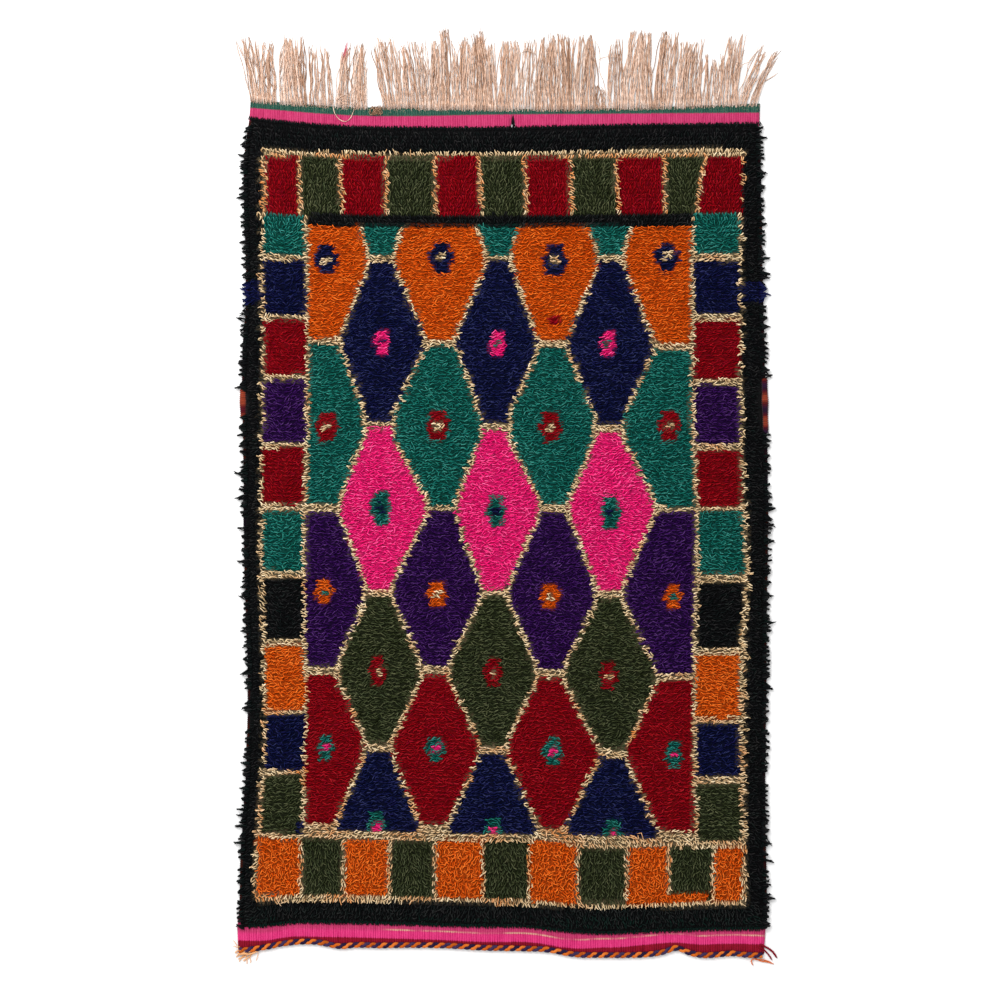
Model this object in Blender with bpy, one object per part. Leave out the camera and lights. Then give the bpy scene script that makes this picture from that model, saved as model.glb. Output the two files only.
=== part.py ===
"""A tulu rug laid flat on a floor.

Its pieces are the ground weave with both flat-woven ends, the shag pile, an overcast
cord along each side, a two-colour twisted cord along one end, the loose yarn ends at
that end's corners, and the fringe of warp ends at the other end.

Metres, +Z up. X runs across the rug and Y along it, with the fringe towards +Y. The
tables give places from the middle of the woven cloth. At the end every piece is moved
so that the origin is on the floor under the middle of the whole rug.
"""

import math
import random
from collections import namedtuple

import bmesh
import bpy
from mathutils import Vector

GAP = 0.0003  # clearance between pieces that touch
WEAVE_THICKNESS = 0.0030
WEAVE_END_STEPS = 44  # straight stretches along each end of the weave
FRINGED_END_LEFT_X = -0.4570
FRINGED_END_RIGHT_X = 0.4590

OUTLINE_ROUNDS = 6  # repeats that settle a point between curved ends and curved sides

# Both side rims of the shag, from the corded end to the fringed end
Side = namedtuple("Side", "place left right")
SIDES = [
    Side(-0.765, -0.478, 0.471),
    Side(-0.715, -0.480, 0.475),
    Side(-0.580, -0.481, 0.474),
    Side(-0.454, -0.474, 0.473),
    Side(-0.274, -0.469, 0.475),
    Side(-0.130, -0.474, 0.476),
    Side(0.014, -0.478, 0.478),
    Side(0.230, -0.478, 0.474),
    Side(0.410, -0.476, 0.470),
    Side(0.590, -0.474, 0.467),
    Side(0.680, -0.471, 0.466),
    Side(0.734, -0.463, 0.462),
    Side(0.770, -0.459, 0.461),
]

# Edge of the weave and edge of the pile at each end, from left to right
End = namedtuple("End", "place weave pile")
FRINGED_END = [
    End(-0.480, 0.7725, 0.7440),
    End(-0.400, 0.7660, 0.7345),
    End(-0.280, 0.7578, 0.7254),
    End(-0.160, 0.7565, 0.7236),
    End(0.015, 0.7542, 0.7236),
    End(0.172, 0.7551, 0.7272),
    End(0.320, 0.7590, 0.7290),
    End(0.480, 0.7645, 0.7312),
]
CORDED_END = [
    End(-0.490, -0.7560, -0.7200),
    End(-0.422, -0.7497, -0.7150),
    End(-0.368, -0.7389, -0.7128),
    End(-0.303, -0.7443, -0.7135),
    End(-0.188, -0.7443, -0.7146),
    End(-0.044, -0.7500, -0.7190),
    End(0.100, -0.7500, -0.7265),
    End(0.172, -0.7620, -0.7308),
    End(0.250, -0.7585, -0.7300),
    End(0.309, -0.7479, -0.7285),
    End(0.352, -0.7569, -0.7270),
    End(0.490, -0.7605, -0.7250),
]

# Wedge-shaped slit that opens in the flat weave beside the pile
SLIT_X = 0.0155
SLIT_TOP_Y = 0.7470
SLIT_BASE_Y = 0.7290
SLIT_BASE_WIDTH = 0.0075

# Shag pile: a lumpy slab with locks growing from its rim
PILE_FOOT_Z = WEAVE_THICKNESS + GAP
PILE_RISE = 0.0180
LOCK_LOW_Z = 0.0070
LOCK_HIGH_Z = 0.0128
PILE_CELLS_ACROSS = 20
PILE_CELLS_ALONG = 34
PILE_LENGTH = 1.440
PILE_WIDTH = 0.930
LOCK_WIDTH = 0.0095
LOCKS_PER_SIDE = 42
LOCKS_PER_END = 20
LockRing = namedtuple("LockRing", "share half_width half_height")
LOCK_RINGS = [
    LockRing(0.34, 0.00342, 0.0021),
    LockRing(0.67, 0.00218, 0.0014),
    LockRing(1.00, 0.00057, 0.0004),
]
Inset = namedtuple("Inset", "side end z")
PILE_FOOT = Inset(0.0175, 0.0075, PILE_FOOT_Z)
PILE_LOCK_LOW = Inset(0.0130, 0.0020, LOCK_LOW_Z)
PILE_LOCK_HIGH = Inset(0.0130, 0.0020, LOCK_HIGH_Z)
PILE_SHOULDER = Inset(0.0240, 0.0130, 0.0175)
Reach = namedtuple("Reach", "least most lean tip_z")
SIDE_REACH = Reach(0.0160, 0.0270, 0.0060, 0.0042)
END_REACH = Reach(0.0040, 0.0075, 0.0030, 0.0052)
RIM_LUMP = 0.4  # share of the lumps' height left at the shoulder
Lump = namedtuple("Lump", "wave_x wave_y phase height")
LUMPS = [
    Lump(0.170, 0.390, 0.4, 0.0014),
    Lump(-0.122, 0.210, 1.9, 0.0012),
    Lump(0.310, -0.118, 3.1, 0.0013),
    Lump(-0.096, -0.330, 5.0, 0.0010),
]

# Overcast cord beside the weave, under the rim locks
SELVEDGE_WIDTH = 0.0098
SELVEDGE_HEIGHT = 0.0046
SELVEDGE_SIDES = 6
SELVEDGE_STATIONS = 64
SELVEDGE_END_INSET = 0.0110
RIM_INSET = 0.0010  # from the shag's rim in to the outside of the side cord
WEAVE_SIDE_INSET = RIM_INSET + SELVEDGE_WIDTH + GAP * 2

# Twisted cord along the plain end
CORD_WIDTH = 0.0112
CORD_HEIGHT = 0.0074
CORD_LEFT_X = -0.4740
CORD_RIGHT_X = 0.4640
CORD_TURNS = 46
CORD_STEPS_PER_TURN = 6
CORD_SIDES = 6
CORD_WAIST = 0.34  # how far the groove between the two plies sinks

# Fringe of warp ends, by groups from left to right
STRIP_WIDTH = 0.0040
STRAND_WIDTH = 0.0023
STRAND_HEIGHT = 0.0019
STRAND_PITCH = 0.0031  # least distance between neighbouring strands
STRAND_STEP = 0.0300
STRAND_WAVE = 0.0015
STRAND_BEND = 1.4  # how much later than evenly a strand leans to its tip
SHORTEST_STEP = 0.0040
SPREAD_ROUNDS = 3
TIP_SIZE = 0.45
Group = namedtuple("Group", "start stop strands tip_shift shortest longest")
FRINGE = [
    Group(-0.456, -0.443, 4, -0.026, 0.116, 0.126),
    Group(-0.437, -0.413, 4, -0.006, 0.100, 0.116),
    Group(-0.398, -0.363, 7, 0.002, 0.118, 0.130),
    Group(-0.346, -0.330, 2, 0.003, 0.122, 0.126),
    Group(-0.324, -0.291, 4, 0.002, 0.086, 0.104),
    Group(-0.284, -0.281, 1, -0.001, 0.119, 0.120),
    Group(-0.263, -0.246, 3, 0.004, 0.110, 0.118),
    Group(-0.218, -0.217, 1, -0.018, 0.114, 0.116),
    Group(-0.212, -0.200, 2, -0.002, 0.122, 0.128),
    Group(-0.194, -0.112, 12, 0.000, 0.116, 0.148),
    Group(-0.105, -0.035, 11, 0.002, 0.118, 0.148),
    Group(-0.022, -0.021, 1, 0.002, 0.112, 0.116),
    Group(0.001, 0.020, 4, 0.003, 0.108, 0.120),
    Group(0.026, 0.040, 2, 0.004, 0.090, 0.108),
    Group(0.047, 0.157, 17, -0.002, 0.122, 0.138),
    Group(0.166, 0.174, 1, 0.012, 0.098, 0.102),
    Group(0.194, 0.220, 4, 0.010, 0.104, 0.124),
    Group(0.230, 0.262, 5, 0.003, 0.126, 0.142),
    Group(0.271, 0.350, 11, 0.002, 0.112, 0.130),
    Group(0.356, 0.400, 6, 0.004, 0.086, 0.106),
    Group(0.407, 0.424, 3, 0.004, 0.124, 0.134),
    Group(0.434, 0.452, 2, 0.043, 0.090, 0.106),
]

# One warp end that loops back over the flat weave
LOOP_THICKNESS = 0.0021
LOOP_Z = WEAVE_THICKNESS + GAP + LOOP_THICKNESS / 2 + 0.0002
LOOP_SINK = 0.0015  # height of its ends inside the fringe's strip
Turn = namedtuple("Turn", "x drop")
LOOP_TURNS = [
    Turn(-0.3080, 0.0030),
    Turn(-0.3035, 0.0120),
    Turn(-0.2955, 0.0200),
    Turn(-0.2870, 0.0232),
    Turn(-0.2790, 0.0200),
    Turn(-0.2730, 0.0120),
    Turn(-0.2700, 0.0030),
]

# Loose yarn ends that leave both ends of the twisted cord and bend down from it
Tuft = namedtuple("Tuft", "name cord_end sign heading colour")
TUFTS = [
    Tuft("corner_ends_left", CORD_LEFT_X, -1, 90.0, (0.62, 0.30, 0.14)),
    Tuft("corner_ends_right", CORD_RIGHT_X, 1, 270.0, (0.36, 0.03, 0.05)),
]
TUFT_PITCH = 0.0036
TUFT_STEPS = 3
TUFT_STRIP_DEPTH = 0.0030
Yarn = namedtuple("Yarn", "place outward down")
TUFT_YARNS = [
    Yarn(-1, 0.0190, 0.0120),
    Yarn(0, 0.0150, 0.0150),
    Yarn(1, 0.0090, 0.0165),
]


def curve(stations, column, place):
    """Value of a table's column at a place between its stations, as a smooth curve."""
    places = [station.place for station in stations]
    values = [getattr(station, column) for station in stations]
    last = len(stations) - 1
    if place <= places[0]:
        return values[0]
    if place >= places[last]:
        return values[last]
    i = max(k for k in range(last) if places[k] <= place)
    span = places[i + 1] - places[i]
    t = (place - places[i]) / span
    slopes = []
    for k in (i, i + 1):
        before, after = max(k - 1, 0), min(k + 1, last)
        slopes.append((values[after] - values[before]) / (places[after] - places[before]))
    rise = (values[i + 1] - values[i]) * t * t * (3 - 2 * t)
    leaving = slopes[0] * span * t * (1 - t) ** 2
    arriving = slopes[1] * span * t * t * (1 - t)
    return values[i] + rise + leaving - arriving


def clear_scene():
    for obj in list(bpy.data.objects):
        bpy.data.objects.remove(obj, do_unlink=True)


def make_material(name, colour, roughness):
    material = bpy.data.materials.new(name)
    material.use_nodes = True
    shader = material.node_tree.nodes["Principled BSDF"]
    shader.inputs["Base Color"].default_value = (*colour, 1.0)
    shader.inputs["Roughness"].default_value = roughness
    shader.inputs["Metallic"].default_value = 0.0
    return material


def make_object(name, bm, colour, roughness=0.95):
    """Turn a bmesh into a named object with its own material and faces pointing out."""
    bmesh.ops.recalc_face_normals(bm, faces=bm.faces)
    mesh = bpy.data.meshes.new(name)
    bm.to_mesh(mesh)
    bm.free()
    mesh.shade_smooth()
    mesh.set_sharp_from_angle(angle=math.radians(50))
    mesh.materials.append(make_material(name, colour, roughness))
    obj = bpy.data.objects.new(name, mesh)
    bpy.context.scene.collection.objects.link(obj)
    return obj


def add_tube(bm, rings):
    """Closed tube through rings of coordinates, with a flat cap at each end."""
    loops = [[bm.verts.new(point) for point in ring] for ring in rings]
    for near, far in zip(loops, loops[1:]):
        join_rings(bm, near, far)
    bm.faces.new(loops[0])
    bm.faces.new(loops[-1])


def join_rings(bm, near, far):
    count = len(near)
    for k in range(count):
        after = (k + 1) % count
        bm.faces.new((near[k], near[after], far[after], far[k]))


def build_weave():
    """Flat slab, full width at both flat-woven ends and narrower beside the side cords."""
    outline = end_line(CORDED_END, CORD_LEFT_X, CORD_RIGHT_X)
    outline += side_line("right", 1)
    outline += end_line(FRINGED_END, FRINGED_END_RIGHT_X, FRINGED_END_LEFT_X)
    outline += reversed(side_line("left", -1))
    bm = bmesh.new()
    face = bm.faces.new([bm.verts.new((x, y, 0.0)) for x, y in outline])
    lifted = bmesh.ops.extrude_face_region(bm, geom=[face])["geom"]
    corners = [item for item in lifted if isinstance(item, bmesh.types.BMVert)]
    bmesh.ops.translate(bm, verts=corners, vec=(0.0, 0.0, WEAVE_THICKNESS))
    weave = make_object("ground_weave", bm, (0.58, 0.06, 0.17))
    cut = weave.modifiers.new("slit", "BOOLEAN")
    cut.operation = "DIFFERENCE"
    cut.object = build_slit_cutter()
    return weave


def end_line(table, start, stop):
    """Points of the weave's edge along one end."""
    places = [start + (stop - start) * k / WEAVE_END_STEPS for k in range(WEAVE_END_STEPS + 1)]
    return [(x, curve(table, "weave", x)) for x in places]


def side_line(side, sign):
    """Points of one long edge: stepped in beside the cord, full width past its ends."""
    low, high = selvedge_span(side)
    rows = [low + (high - low) * k / SELVEDGE_STATIONS for k in range(2, SELVEDGE_STATIONS, 2)]
    rows = [low - GAP] + rows + [high + GAP]
    edge = [(curve(SIDES, side, y) - sign * WEAVE_SIDE_INSET, y) for y in rows]
    full = [(curve(SIDES, side, y) - sign * RIM_INSET, y) for y in (rows[0], rows[-1])]
    return [full[0]] + edge + [full[1]]


def build_slit_cutter():
    """Three-sided prism through the weave."""
    half = SLIT_BASE_WIDTH / 2
    outline = [(SLIT_X - half, SLIT_BASE_Y), (SLIT_X + half, SLIT_BASE_Y), (SLIT_X, SLIT_TOP_Y)]
    bm = bmesh.new()
    rings = [[(x, y, z) for x, y in outline] for z in (-WEAVE_THICKNESS, WEAVE_THICKNESS * 2)]
    add_tube(bm, rings)
    cutter = make_object("slit_cutter", bm, (0.5, 0.5, 0.5))
    cutter.hide_render = True
    cutter.display_type = "WIRE"
    return cutter


def selvedge_span(side):
    """Where a side cord starts and stops, just short of the pile's two ends."""
    x = curve(SIDES, side, 0.0)
    low = curve(CORDED_END, "pile", x) + SELVEDGE_END_INSET
    high = curve(FRINGED_END, "pile", x) - SELVEDGE_END_INSET
    return low, high


def build_selvedge(side, sign):
    """Flattened cord with the slow swell and pinch of its overcasting."""
    low, high = selvedge_span(side)
    first_angle = math.pi / SELVEDGE_SIDES
    widest, highest = math.cos(first_angle), math.sin(3 * first_angle)
    rings = []
    for k in range(SELVEDGE_STATIONS + 1):
        y = low + (high - low) * k / SELVEDGE_STATIONS
        swell = 0.95 - 0.10 * (k % 2) - 0.05 * math.sin(0.9 * k)
        half = SELVEDGE_WIDTH / 2 * swell
        middle = curve(SIDES, side, y) - sign * (RIM_INSET + SELVEDGE_WIDTH / 2)
        ring = []
        for j in range(SELVEDGE_SIDES):
            angle = first_angle + math.tau * j / SELVEDGE_SIDES
            lift = math.sin(angle) / highest
            x = middle + half * math.cos(angle) / widest
            ring.append((x, y, SELVEDGE_HEIGHT / 2 * (1 + lift * (swell if lift > 0 else 1))))
        rings.append(ring)
    bm = bmesh.new()
    add_tube(bm, rings)
    return make_object("selvedge_" + side, bm, (0.26, 0.05, 0.04))


def pile_point(across, along, inset):
    """Point at a share of the pile's width and length, drawn in from its edges."""
    x, y = 0.0, 0.0
    for _ in range(OUTLINE_ROUNDS):
        low = curve(CORDED_END, "pile", x) + inset.end
        high = curve(FRINGED_END, "pile", x) - inset.end
        y = low + along * (high - low)
        left = curve(SIDES, "left", y) + inset.side
        right = curve(SIDES, "right", y) - inset.side
        x = left + across * (right - left)
    return x, y


def rim_point(place, inset):
    """Point on the pile's rim: place runs 0 to 4 by the corded end, right, top and left."""
    edge, share = int(place) % 4, place - int(place)
    across, along = [(share, 0.0), (1.0, share), (1.0 - share, 1.0), (0.0, 1.0 - share)][edge]
    return pile_point(across, along, inset)


def lump_height(x, y):
    waves = (math.sin(math.tau * (x / w.wave_x + y / w.wave_y) + w.phase) * w.height for w in LUMPS)
    return sum(waves)


def stitch(bm, outer, inner):
    """Triangles between two closed loops of (place, vertex) that both start at place 0."""
    i = j = 0
    while i < len(outer) or j < len(inner):
        here, there = outer[i % len(outer)][1], inner[j % len(inner)][1]
        next_outer = outer[i + 1][0] if i + 1 < len(outer) else 4.0
        next_inner = inner[j + 1][0] if j + 1 < len(inner) else 4.0
        if j == len(inner) or (i < len(outer) and next_outer <= next_inner):
            bm.faces.new((here, outer[(i + 1) % len(outer)][1], there))
            i += 1
        else:
            bm.faces.new((here, inner[(j + 1) % len(inner)][1], there))
            j += 1


def lock_places(rng):
    """Start and stop of each rim lock's root, as places round the rim."""
    places = []
    for edge in range(4):
        count = LOCKS_PER_END if edge % 2 == 0 else LOCKS_PER_SIDE
        length = PILE_WIDTH if edge % 2 == 0 else PILE_LENGTH
        half = LOCK_WIDTH / 2 / length
        for k in range(count):
            middle = edge + (k + 0.5 + rng.uniform(-0.2, 0.2)) / count
            places.append((middle - half, middle + half))
    return places


def grow_lock(bm, root, edge, rng):
    """Tapering lock from a four-cornered root in the slab's wall, outward and down."""
    reach = END_REACH if edge % 2 == 0 else SIDE_REACH
    out = Vector([(0, -1, 0), (1, 0, 0), (0, 1, 0), (-1, 0, 0)][edge])
    sideways = Vector((0, 0, 1)).cross(out)
    middle = sum((corner.co for corner in root), Vector()) / 4
    length = rng.uniform(reach.least, reach.most)
    lean = rng.uniform(-reach.lean, reach.lean)
    ring = root
    for share, half_width, half_height in LOCK_RINGS:
        centre = middle + out * length * share + sideways * lean * share * share
        centre.z = middle.z + (reach.tip_z - middle.z) * share**1.5
        side = sideways * half_width
        up = Vector((0, 0, half_height))
        points = [centre - side - up, centre + side - up, centre + side + up, centre - side + up]
        outer = [bm.verts.new(point) for point in points]
        join_rings(bm, ring, outer)
        ring = outer
    bm.faces.new(ring)


def build_pile():
    """Lumpy slab over the weave, its wall set with locks all round."""
    rng = random.Random(7)
    bm = bmesh.new()
    across, along = PILE_CELLS_ACROSS, PILE_CELLS_ALONG
    top = {}
    for i in range(across + 1):
        for j in range(along + 1):
            on_rim = i in (0, across) or j in (0, along)
            x, y = pile_point(i / across, j / along, PILE_SHOULDER)
            rise = PILE_SHOULDER.z if on_rim else PILE_FOOT_Z + PILE_RISE
            lump = lump_height(x, y) * (RIM_LUMP if on_rim else 1.0)
            top[i, j] = bm.verts.new((x, y, rise + lump))
    for i in range(across):
        for j in range(along):
            bm.faces.new((top[i, j], top[i + 1, j], top[i + 1, j + 1], top[i, j + 1]))
    shoulder = [(i / across, top[i, 0]) for i in range(across)]
    shoulder += [(1 + j / along, top[across, j]) for j in range(along)]
    shoulder += [(2 + i / across, top[across - i, along]) for i in range(across)]
    shoulder += [(3 + j / along, top[0, along - j]) for j in range(along)]

    places = lock_places(rng)
    corners = [float(k) for k in range(4)]
    stops = sorted(corners + [place for pair in places for place in pair])
    starts = {pair[0] for pair in places}
    low, high = [], []
    for place in stops:
        for ring, inset in ((low, PILE_LOCK_LOW), (high, PILE_LOCK_HIGH)):
            ring.append((place, bm.verts.new((*rim_point(place, inset), inset.z))))
    for k, place in enumerate(stops):
        after = (k + 1) % len(stops)
        wall = (low[k][1], low[after][1], high[after][1], high[k][1])
        if place in starts:
            grow_lock(bm, wall, int(place), rng)
        else:
            bm.faces.new(wall)
    stitch(bm, high, shoulder)
    foot = []
    for place, _ in shoulder:
        foot.append((place, bm.verts.new((*rim_point(place, PILE_FOOT), PILE_FOOT.z))))
    stitch(bm, foot, low)
    bm.faces.new([vert for _, vert in foot])
    return make_object("pile", bm, (0.13, 0.06, 0.05))


def cord_middle(x):
    """The twisted cord's middle line, beside the wavy edge of the weave."""
    return curve(CORDED_END, "weave", x) - CORD_WIDTH / 2 - GAP * 3


def build_edge_cord():
    """Two plies twisted together, with the groove between them turning along the cord."""
    steps = CORD_TURNS * CORD_STEPS_PER_TURN
    rings = []
    for k in range(steps + 1):
        x = CORD_LEFT_X + (CORD_RIGHT_X - CORD_LEFT_X) * k / steps
        middle = cord_middle(x)
        ring = []
        for j in range(CORD_SIDES):
            angle = math.tau * j / CORD_SIDES
            radius = 1 - CORD_WAIST * math.sin(angle) ** 2
            angle += math.tau * k / CORD_STEPS_PER_TURN
            z = CORD_HEIGHT / 2 * (1 + radius * math.sin(angle))
            ring.append((x, middle + CORD_WIDTH / 2 * radius * math.cos(angle), z))
        rings.append(ring)
    bm = bmesh.new()
    add_tube(bm, rings)
    return make_object("edge_cord", bm, (0.42, 0.14, 0.05))


def add_column(bm, x, back, front, half_width):
    """Cross-section of a strip of strands at one root: back edge, top of the front, foot."""
    bottom, top = 0.0, WEAVE_THICKNESS
    foot = [bm.verts.new((x - half_width, front, bottom))]
    if half_width > 0:
        foot.append(bm.verts.new((x + half_width, front, bottom)))
    return {
        "back_low": bm.verts.new((x, back, bottom)),
        "back_high": bm.verts.new((x, back, top)),
        "front_high": bm.verts.new((x, front, top)),
        "foot": foot,
    }


def add_strip(bm, columns):
    """Narrow backing strip whose front wall is left open where strands grow."""
    for near, far in zip(columns, columns[1:]):
        bm.faces.new((near["back_high"], near["front_high"], far["front_high"], far["back_high"]))
        bm.faces.new((near["back_low"], near["back_high"], far["back_high"], far["back_low"]))
        bm.faces.new((near["foot"][-1], near["front_high"], far["front_high"], far["foot"][0]))
        bm.faces.new((near["back_low"], *near["foot"], far["foot"][0], far["back_low"]))
    for end in (columns[0], columns[-1]):
        bm.faces.new((end["back_low"], end["back_high"], end["front_high"], end["foot"][0]))


def grow_strand(bm, column, path):
    """Three-sided strand lying flat on the floor, through points of (x, y, share of size)."""
    ring = [*column["foot"], column["front_high"]]
    for x, y, size in path:
        half = STRAND_WIDTH / 2 * size
        points = [(x - half, y, 0.0), (x + half, y, 0.0), (x, y, STRAND_HEIGHT * size)]
        outer = [bm.verts.new(point) for point in points]
        join_rings(bm, ring, outer)
        ring = outer
    bm.faces.new(ring)


def spread(places):
    """Move places apart, left to right, until neighbours keep the least pitch."""
    for _ in range(SPREAD_ROUNDS):
        for k in range(1, len(places)):
            short = STRAND_PITCH - (places[k] - places[k - 1])
            if short > 0:
                places[k] += short / 2
                places[k - 1] -= short / 2
    for k in range(1, len(places)):
        places[k] = max(places[k], places[k - 1] + STRAND_PITCH)
    return places


def fringe_strands(rng):
    """Root, length and sideways shift of every warp end."""
    strands = []
    for group in FRINGE:
        for k in range(group.strands):
            share = (k + 0.5) / group.strands
            root = group.start + (group.stop - group.start) * share + rng.uniform(-0.0006, 0.0006)
            length = rng.uniform(group.shortest, group.longest)
            strands.append((root, length, group.tip_shift, rng.uniform(0, math.tau)))
    return strands


def build_fringe():
    """Warp ends lying on the floor, joined at the roots by a strip beside the weave."""
    rng = random.Random(21)
    strands = fringe_strands(rng)
    roots = spread([strand[0] for strand in strands])
    levels = 1 + int(max(strand[1] for strand in strands) / STRAND_STEP)
    paths = [[] for _ in strands]
    latest = list(roots)
    for level in range(1, levels + 1):
        distance = level * STRAND_STEP
        start = distance - STRAND_STEP
        live = [k for k, strand in enumerate(strands) if strand[1] > start + SHORTEST_STEP]
        wanted = []
        for k in live:
            _, length, shift, phase = strands[k]
            share = min(distance / length, 1.0)
            own_wave = STRAND_WAVE * math.sin(phase + level * 1.3)
            shared_wave = STRAND_WAVE * math.sin(roots[k] * 90 + level)
            wanted.append(roots[k] + shift * share**STRAND_BEND + own_wave + shared_wave)
        for k, x in zip(live, spread(wanted)):
            reached = min(distance, strands[k][1])
            x = latest[k] + (x - latest[k]) * (reached - start) / STRAND_STEP
            ended = strands[k][1] <= distance + SHORTEST_STEP
            paths[k].append((x, reached, TIP_SIZE if ended else 1.0))
            latest[k] = x
    bm = bmesh.new()
    columns = [strip_column(bm, roots[0] - STRIP_WIDTH, 0.0)]
    for root, path in zip(roots, paths):
        column = strip_column(bm, root, STRAND_WIDTH / 2)
        front = column["foot"][0].co.y
        grow_strand(bm, column, [(x, front + distance, size) for x, distance, size in path])
        columns.append(column)
    columns.append(strip_column(bm, roots[-1] + STRIP_WIDTH, 0.0))
    add_strip(bm, columns)
    fringe = make_object("fringe", bm, (0.63, 0.46, 0.36))
    union = fringe.modifiers.new("loop", "BOOLEAN")
    union.operation = "UNION"
    union.object = build_loop()
    return fringe


def strip_column(bm, x, half_width):
    back = curve(FRINGED_END, "weave", x) + GAP * 1.5
    return add_column(bm, x, back, back + STRIP_WIDTH, half_width)


def build_loop():
    """Square tube from the strip, over the flat weave and back to the strip."""
    points = []
    for turn in LOOP_TURNS:
        points.append(Vector((turn.x, curve(FRINGED_END, "weave", turn.x) - turn.drop, LOOP_Z)))
    ends = []
    for turn in (LOOP_TURNS[0], LOOP_TURNS[-1]):
        edge = curve(FRINGED_END, "weave", turn.x) + GAP
        over = Vector((turn.x, edge, LOOP_Z))
        inside = Vector((turn.x, edge + STRIP_WIDTH * 0.62, LOOP_SINK))
        ends.append((over, inside))
    path = [ends[0][1], ends[0][0], *points, ends[1][0], ends[1][1]]
    half = LOOP_THICKNESS / 2
    rings = []
    for k, point in enumerate(path):
        before, after = path[max(k - 1, 0)], path[min(k + 1, len(path) - 1)]
        heading = (after - before).normalized()
        across = Vector((0, 0, 1)).cross(heading).normalized()
        up = heading.cross(across)
        offsets = (across + up, up - across, -across - up, across - up)
        rings.append([point + offset * half for offset in offsets])
    bm = bmesh.new()
    add_tube(bm, rings)
    guide = make_object("loop_guide", bm, (0.5, 0.5, 0.5))
    guide.hide_render = True
    guide.display_type = "WIRE"
    return guide


def build_tuft(tuft):
    """Loose yarns growing from a short strip that stands against the cord's end."""
    half_depth = TUFT_STRIP_DEPTH / 2
    strip_end = TUFT_PITCH * 1.6
    bm = bmesh.new()
    columns = [add_column(bm, -strip_end, -half_depth, half_depth, 0.0)]
    for yarn in TUFT_YARNS[:: tuft.sign]:
        root = yarn.place * TUFT_PITCH * tuft.sign
        column = add_column(bm, root, -half_depth, half_depth, STRAND_WIDTH / 2)
        path = []
        for k in range(1, TUFT_STEPS + 1):
            share = k / TUFT_STEPS
            x = root + tuft.sign * yarn.down * share**STRAND_BEND
            size = 1.0 if k < TUFT_STEPS else TIP_SIZE
            path.append((x, half_depth + yarn.outward * share, size))
        grow_strand(bm, column, path)
        columns.append(column)
    columns.append(add_column(bm, strip_end, -half_depth, half_depth, 0.0))
    add_strip(bm, columns)
    obj = make_object(tuft.name, bm, tuft.colour)
    x = tuft.cord_end + tuft.sign * (half_depth + GAP)
    obj.location = (x, cord_middle(tuft.cord_end), 0.0)
    obj.rotation_euler = (0.0, 0.0, math.radians(tuft.heading))
    return obj


def centre_on_floor(pieces):
    """Move every piece so that the origin lies under the middle of the whole rug."""
    bpy.context.view_layer.update()
    points = [obj.matrix_world @ vert.co for obj in pieces for vert in obj.data.vertices]
    low = [min(point[axis] for point in points) for axis in range(3)]
    high = [max(point[axis] for point in points) for axis in range(3)]
    shift = Vector((-(low[0] + high[0]) / 2, -(low[1] + high[1]) / 2, -low[2]))
    for obj in bpy.context.scene.objects:
        obj.location += shift


def main():
    clear_scene()
    pieces = [
        build_weave(),
        build_pile(),
        build_selvedge("left", -1),
        build_selvedge("right", 1),
        build_edge_cord(),
        build_fringe(),
    ]
    pieces += [build_tuft(tuft) for tuft in TUFTS]
    centre_on_floor(pieces)


main()
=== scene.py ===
import math

import bpy
import numpy as np
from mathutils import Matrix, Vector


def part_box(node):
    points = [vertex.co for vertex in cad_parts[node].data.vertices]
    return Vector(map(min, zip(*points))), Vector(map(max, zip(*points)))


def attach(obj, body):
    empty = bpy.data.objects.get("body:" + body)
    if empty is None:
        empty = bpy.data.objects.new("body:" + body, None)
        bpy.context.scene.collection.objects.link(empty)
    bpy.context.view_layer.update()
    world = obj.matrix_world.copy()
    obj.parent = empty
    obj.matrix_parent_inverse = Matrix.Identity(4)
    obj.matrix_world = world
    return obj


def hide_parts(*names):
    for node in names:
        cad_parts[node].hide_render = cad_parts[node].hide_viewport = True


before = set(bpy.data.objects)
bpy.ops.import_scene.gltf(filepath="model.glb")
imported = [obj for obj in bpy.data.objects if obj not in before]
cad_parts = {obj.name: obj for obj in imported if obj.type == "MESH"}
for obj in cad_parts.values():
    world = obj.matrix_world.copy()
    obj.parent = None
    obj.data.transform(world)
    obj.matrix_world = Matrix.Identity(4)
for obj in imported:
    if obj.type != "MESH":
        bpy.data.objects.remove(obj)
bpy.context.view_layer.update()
print("frame loaded")

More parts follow.
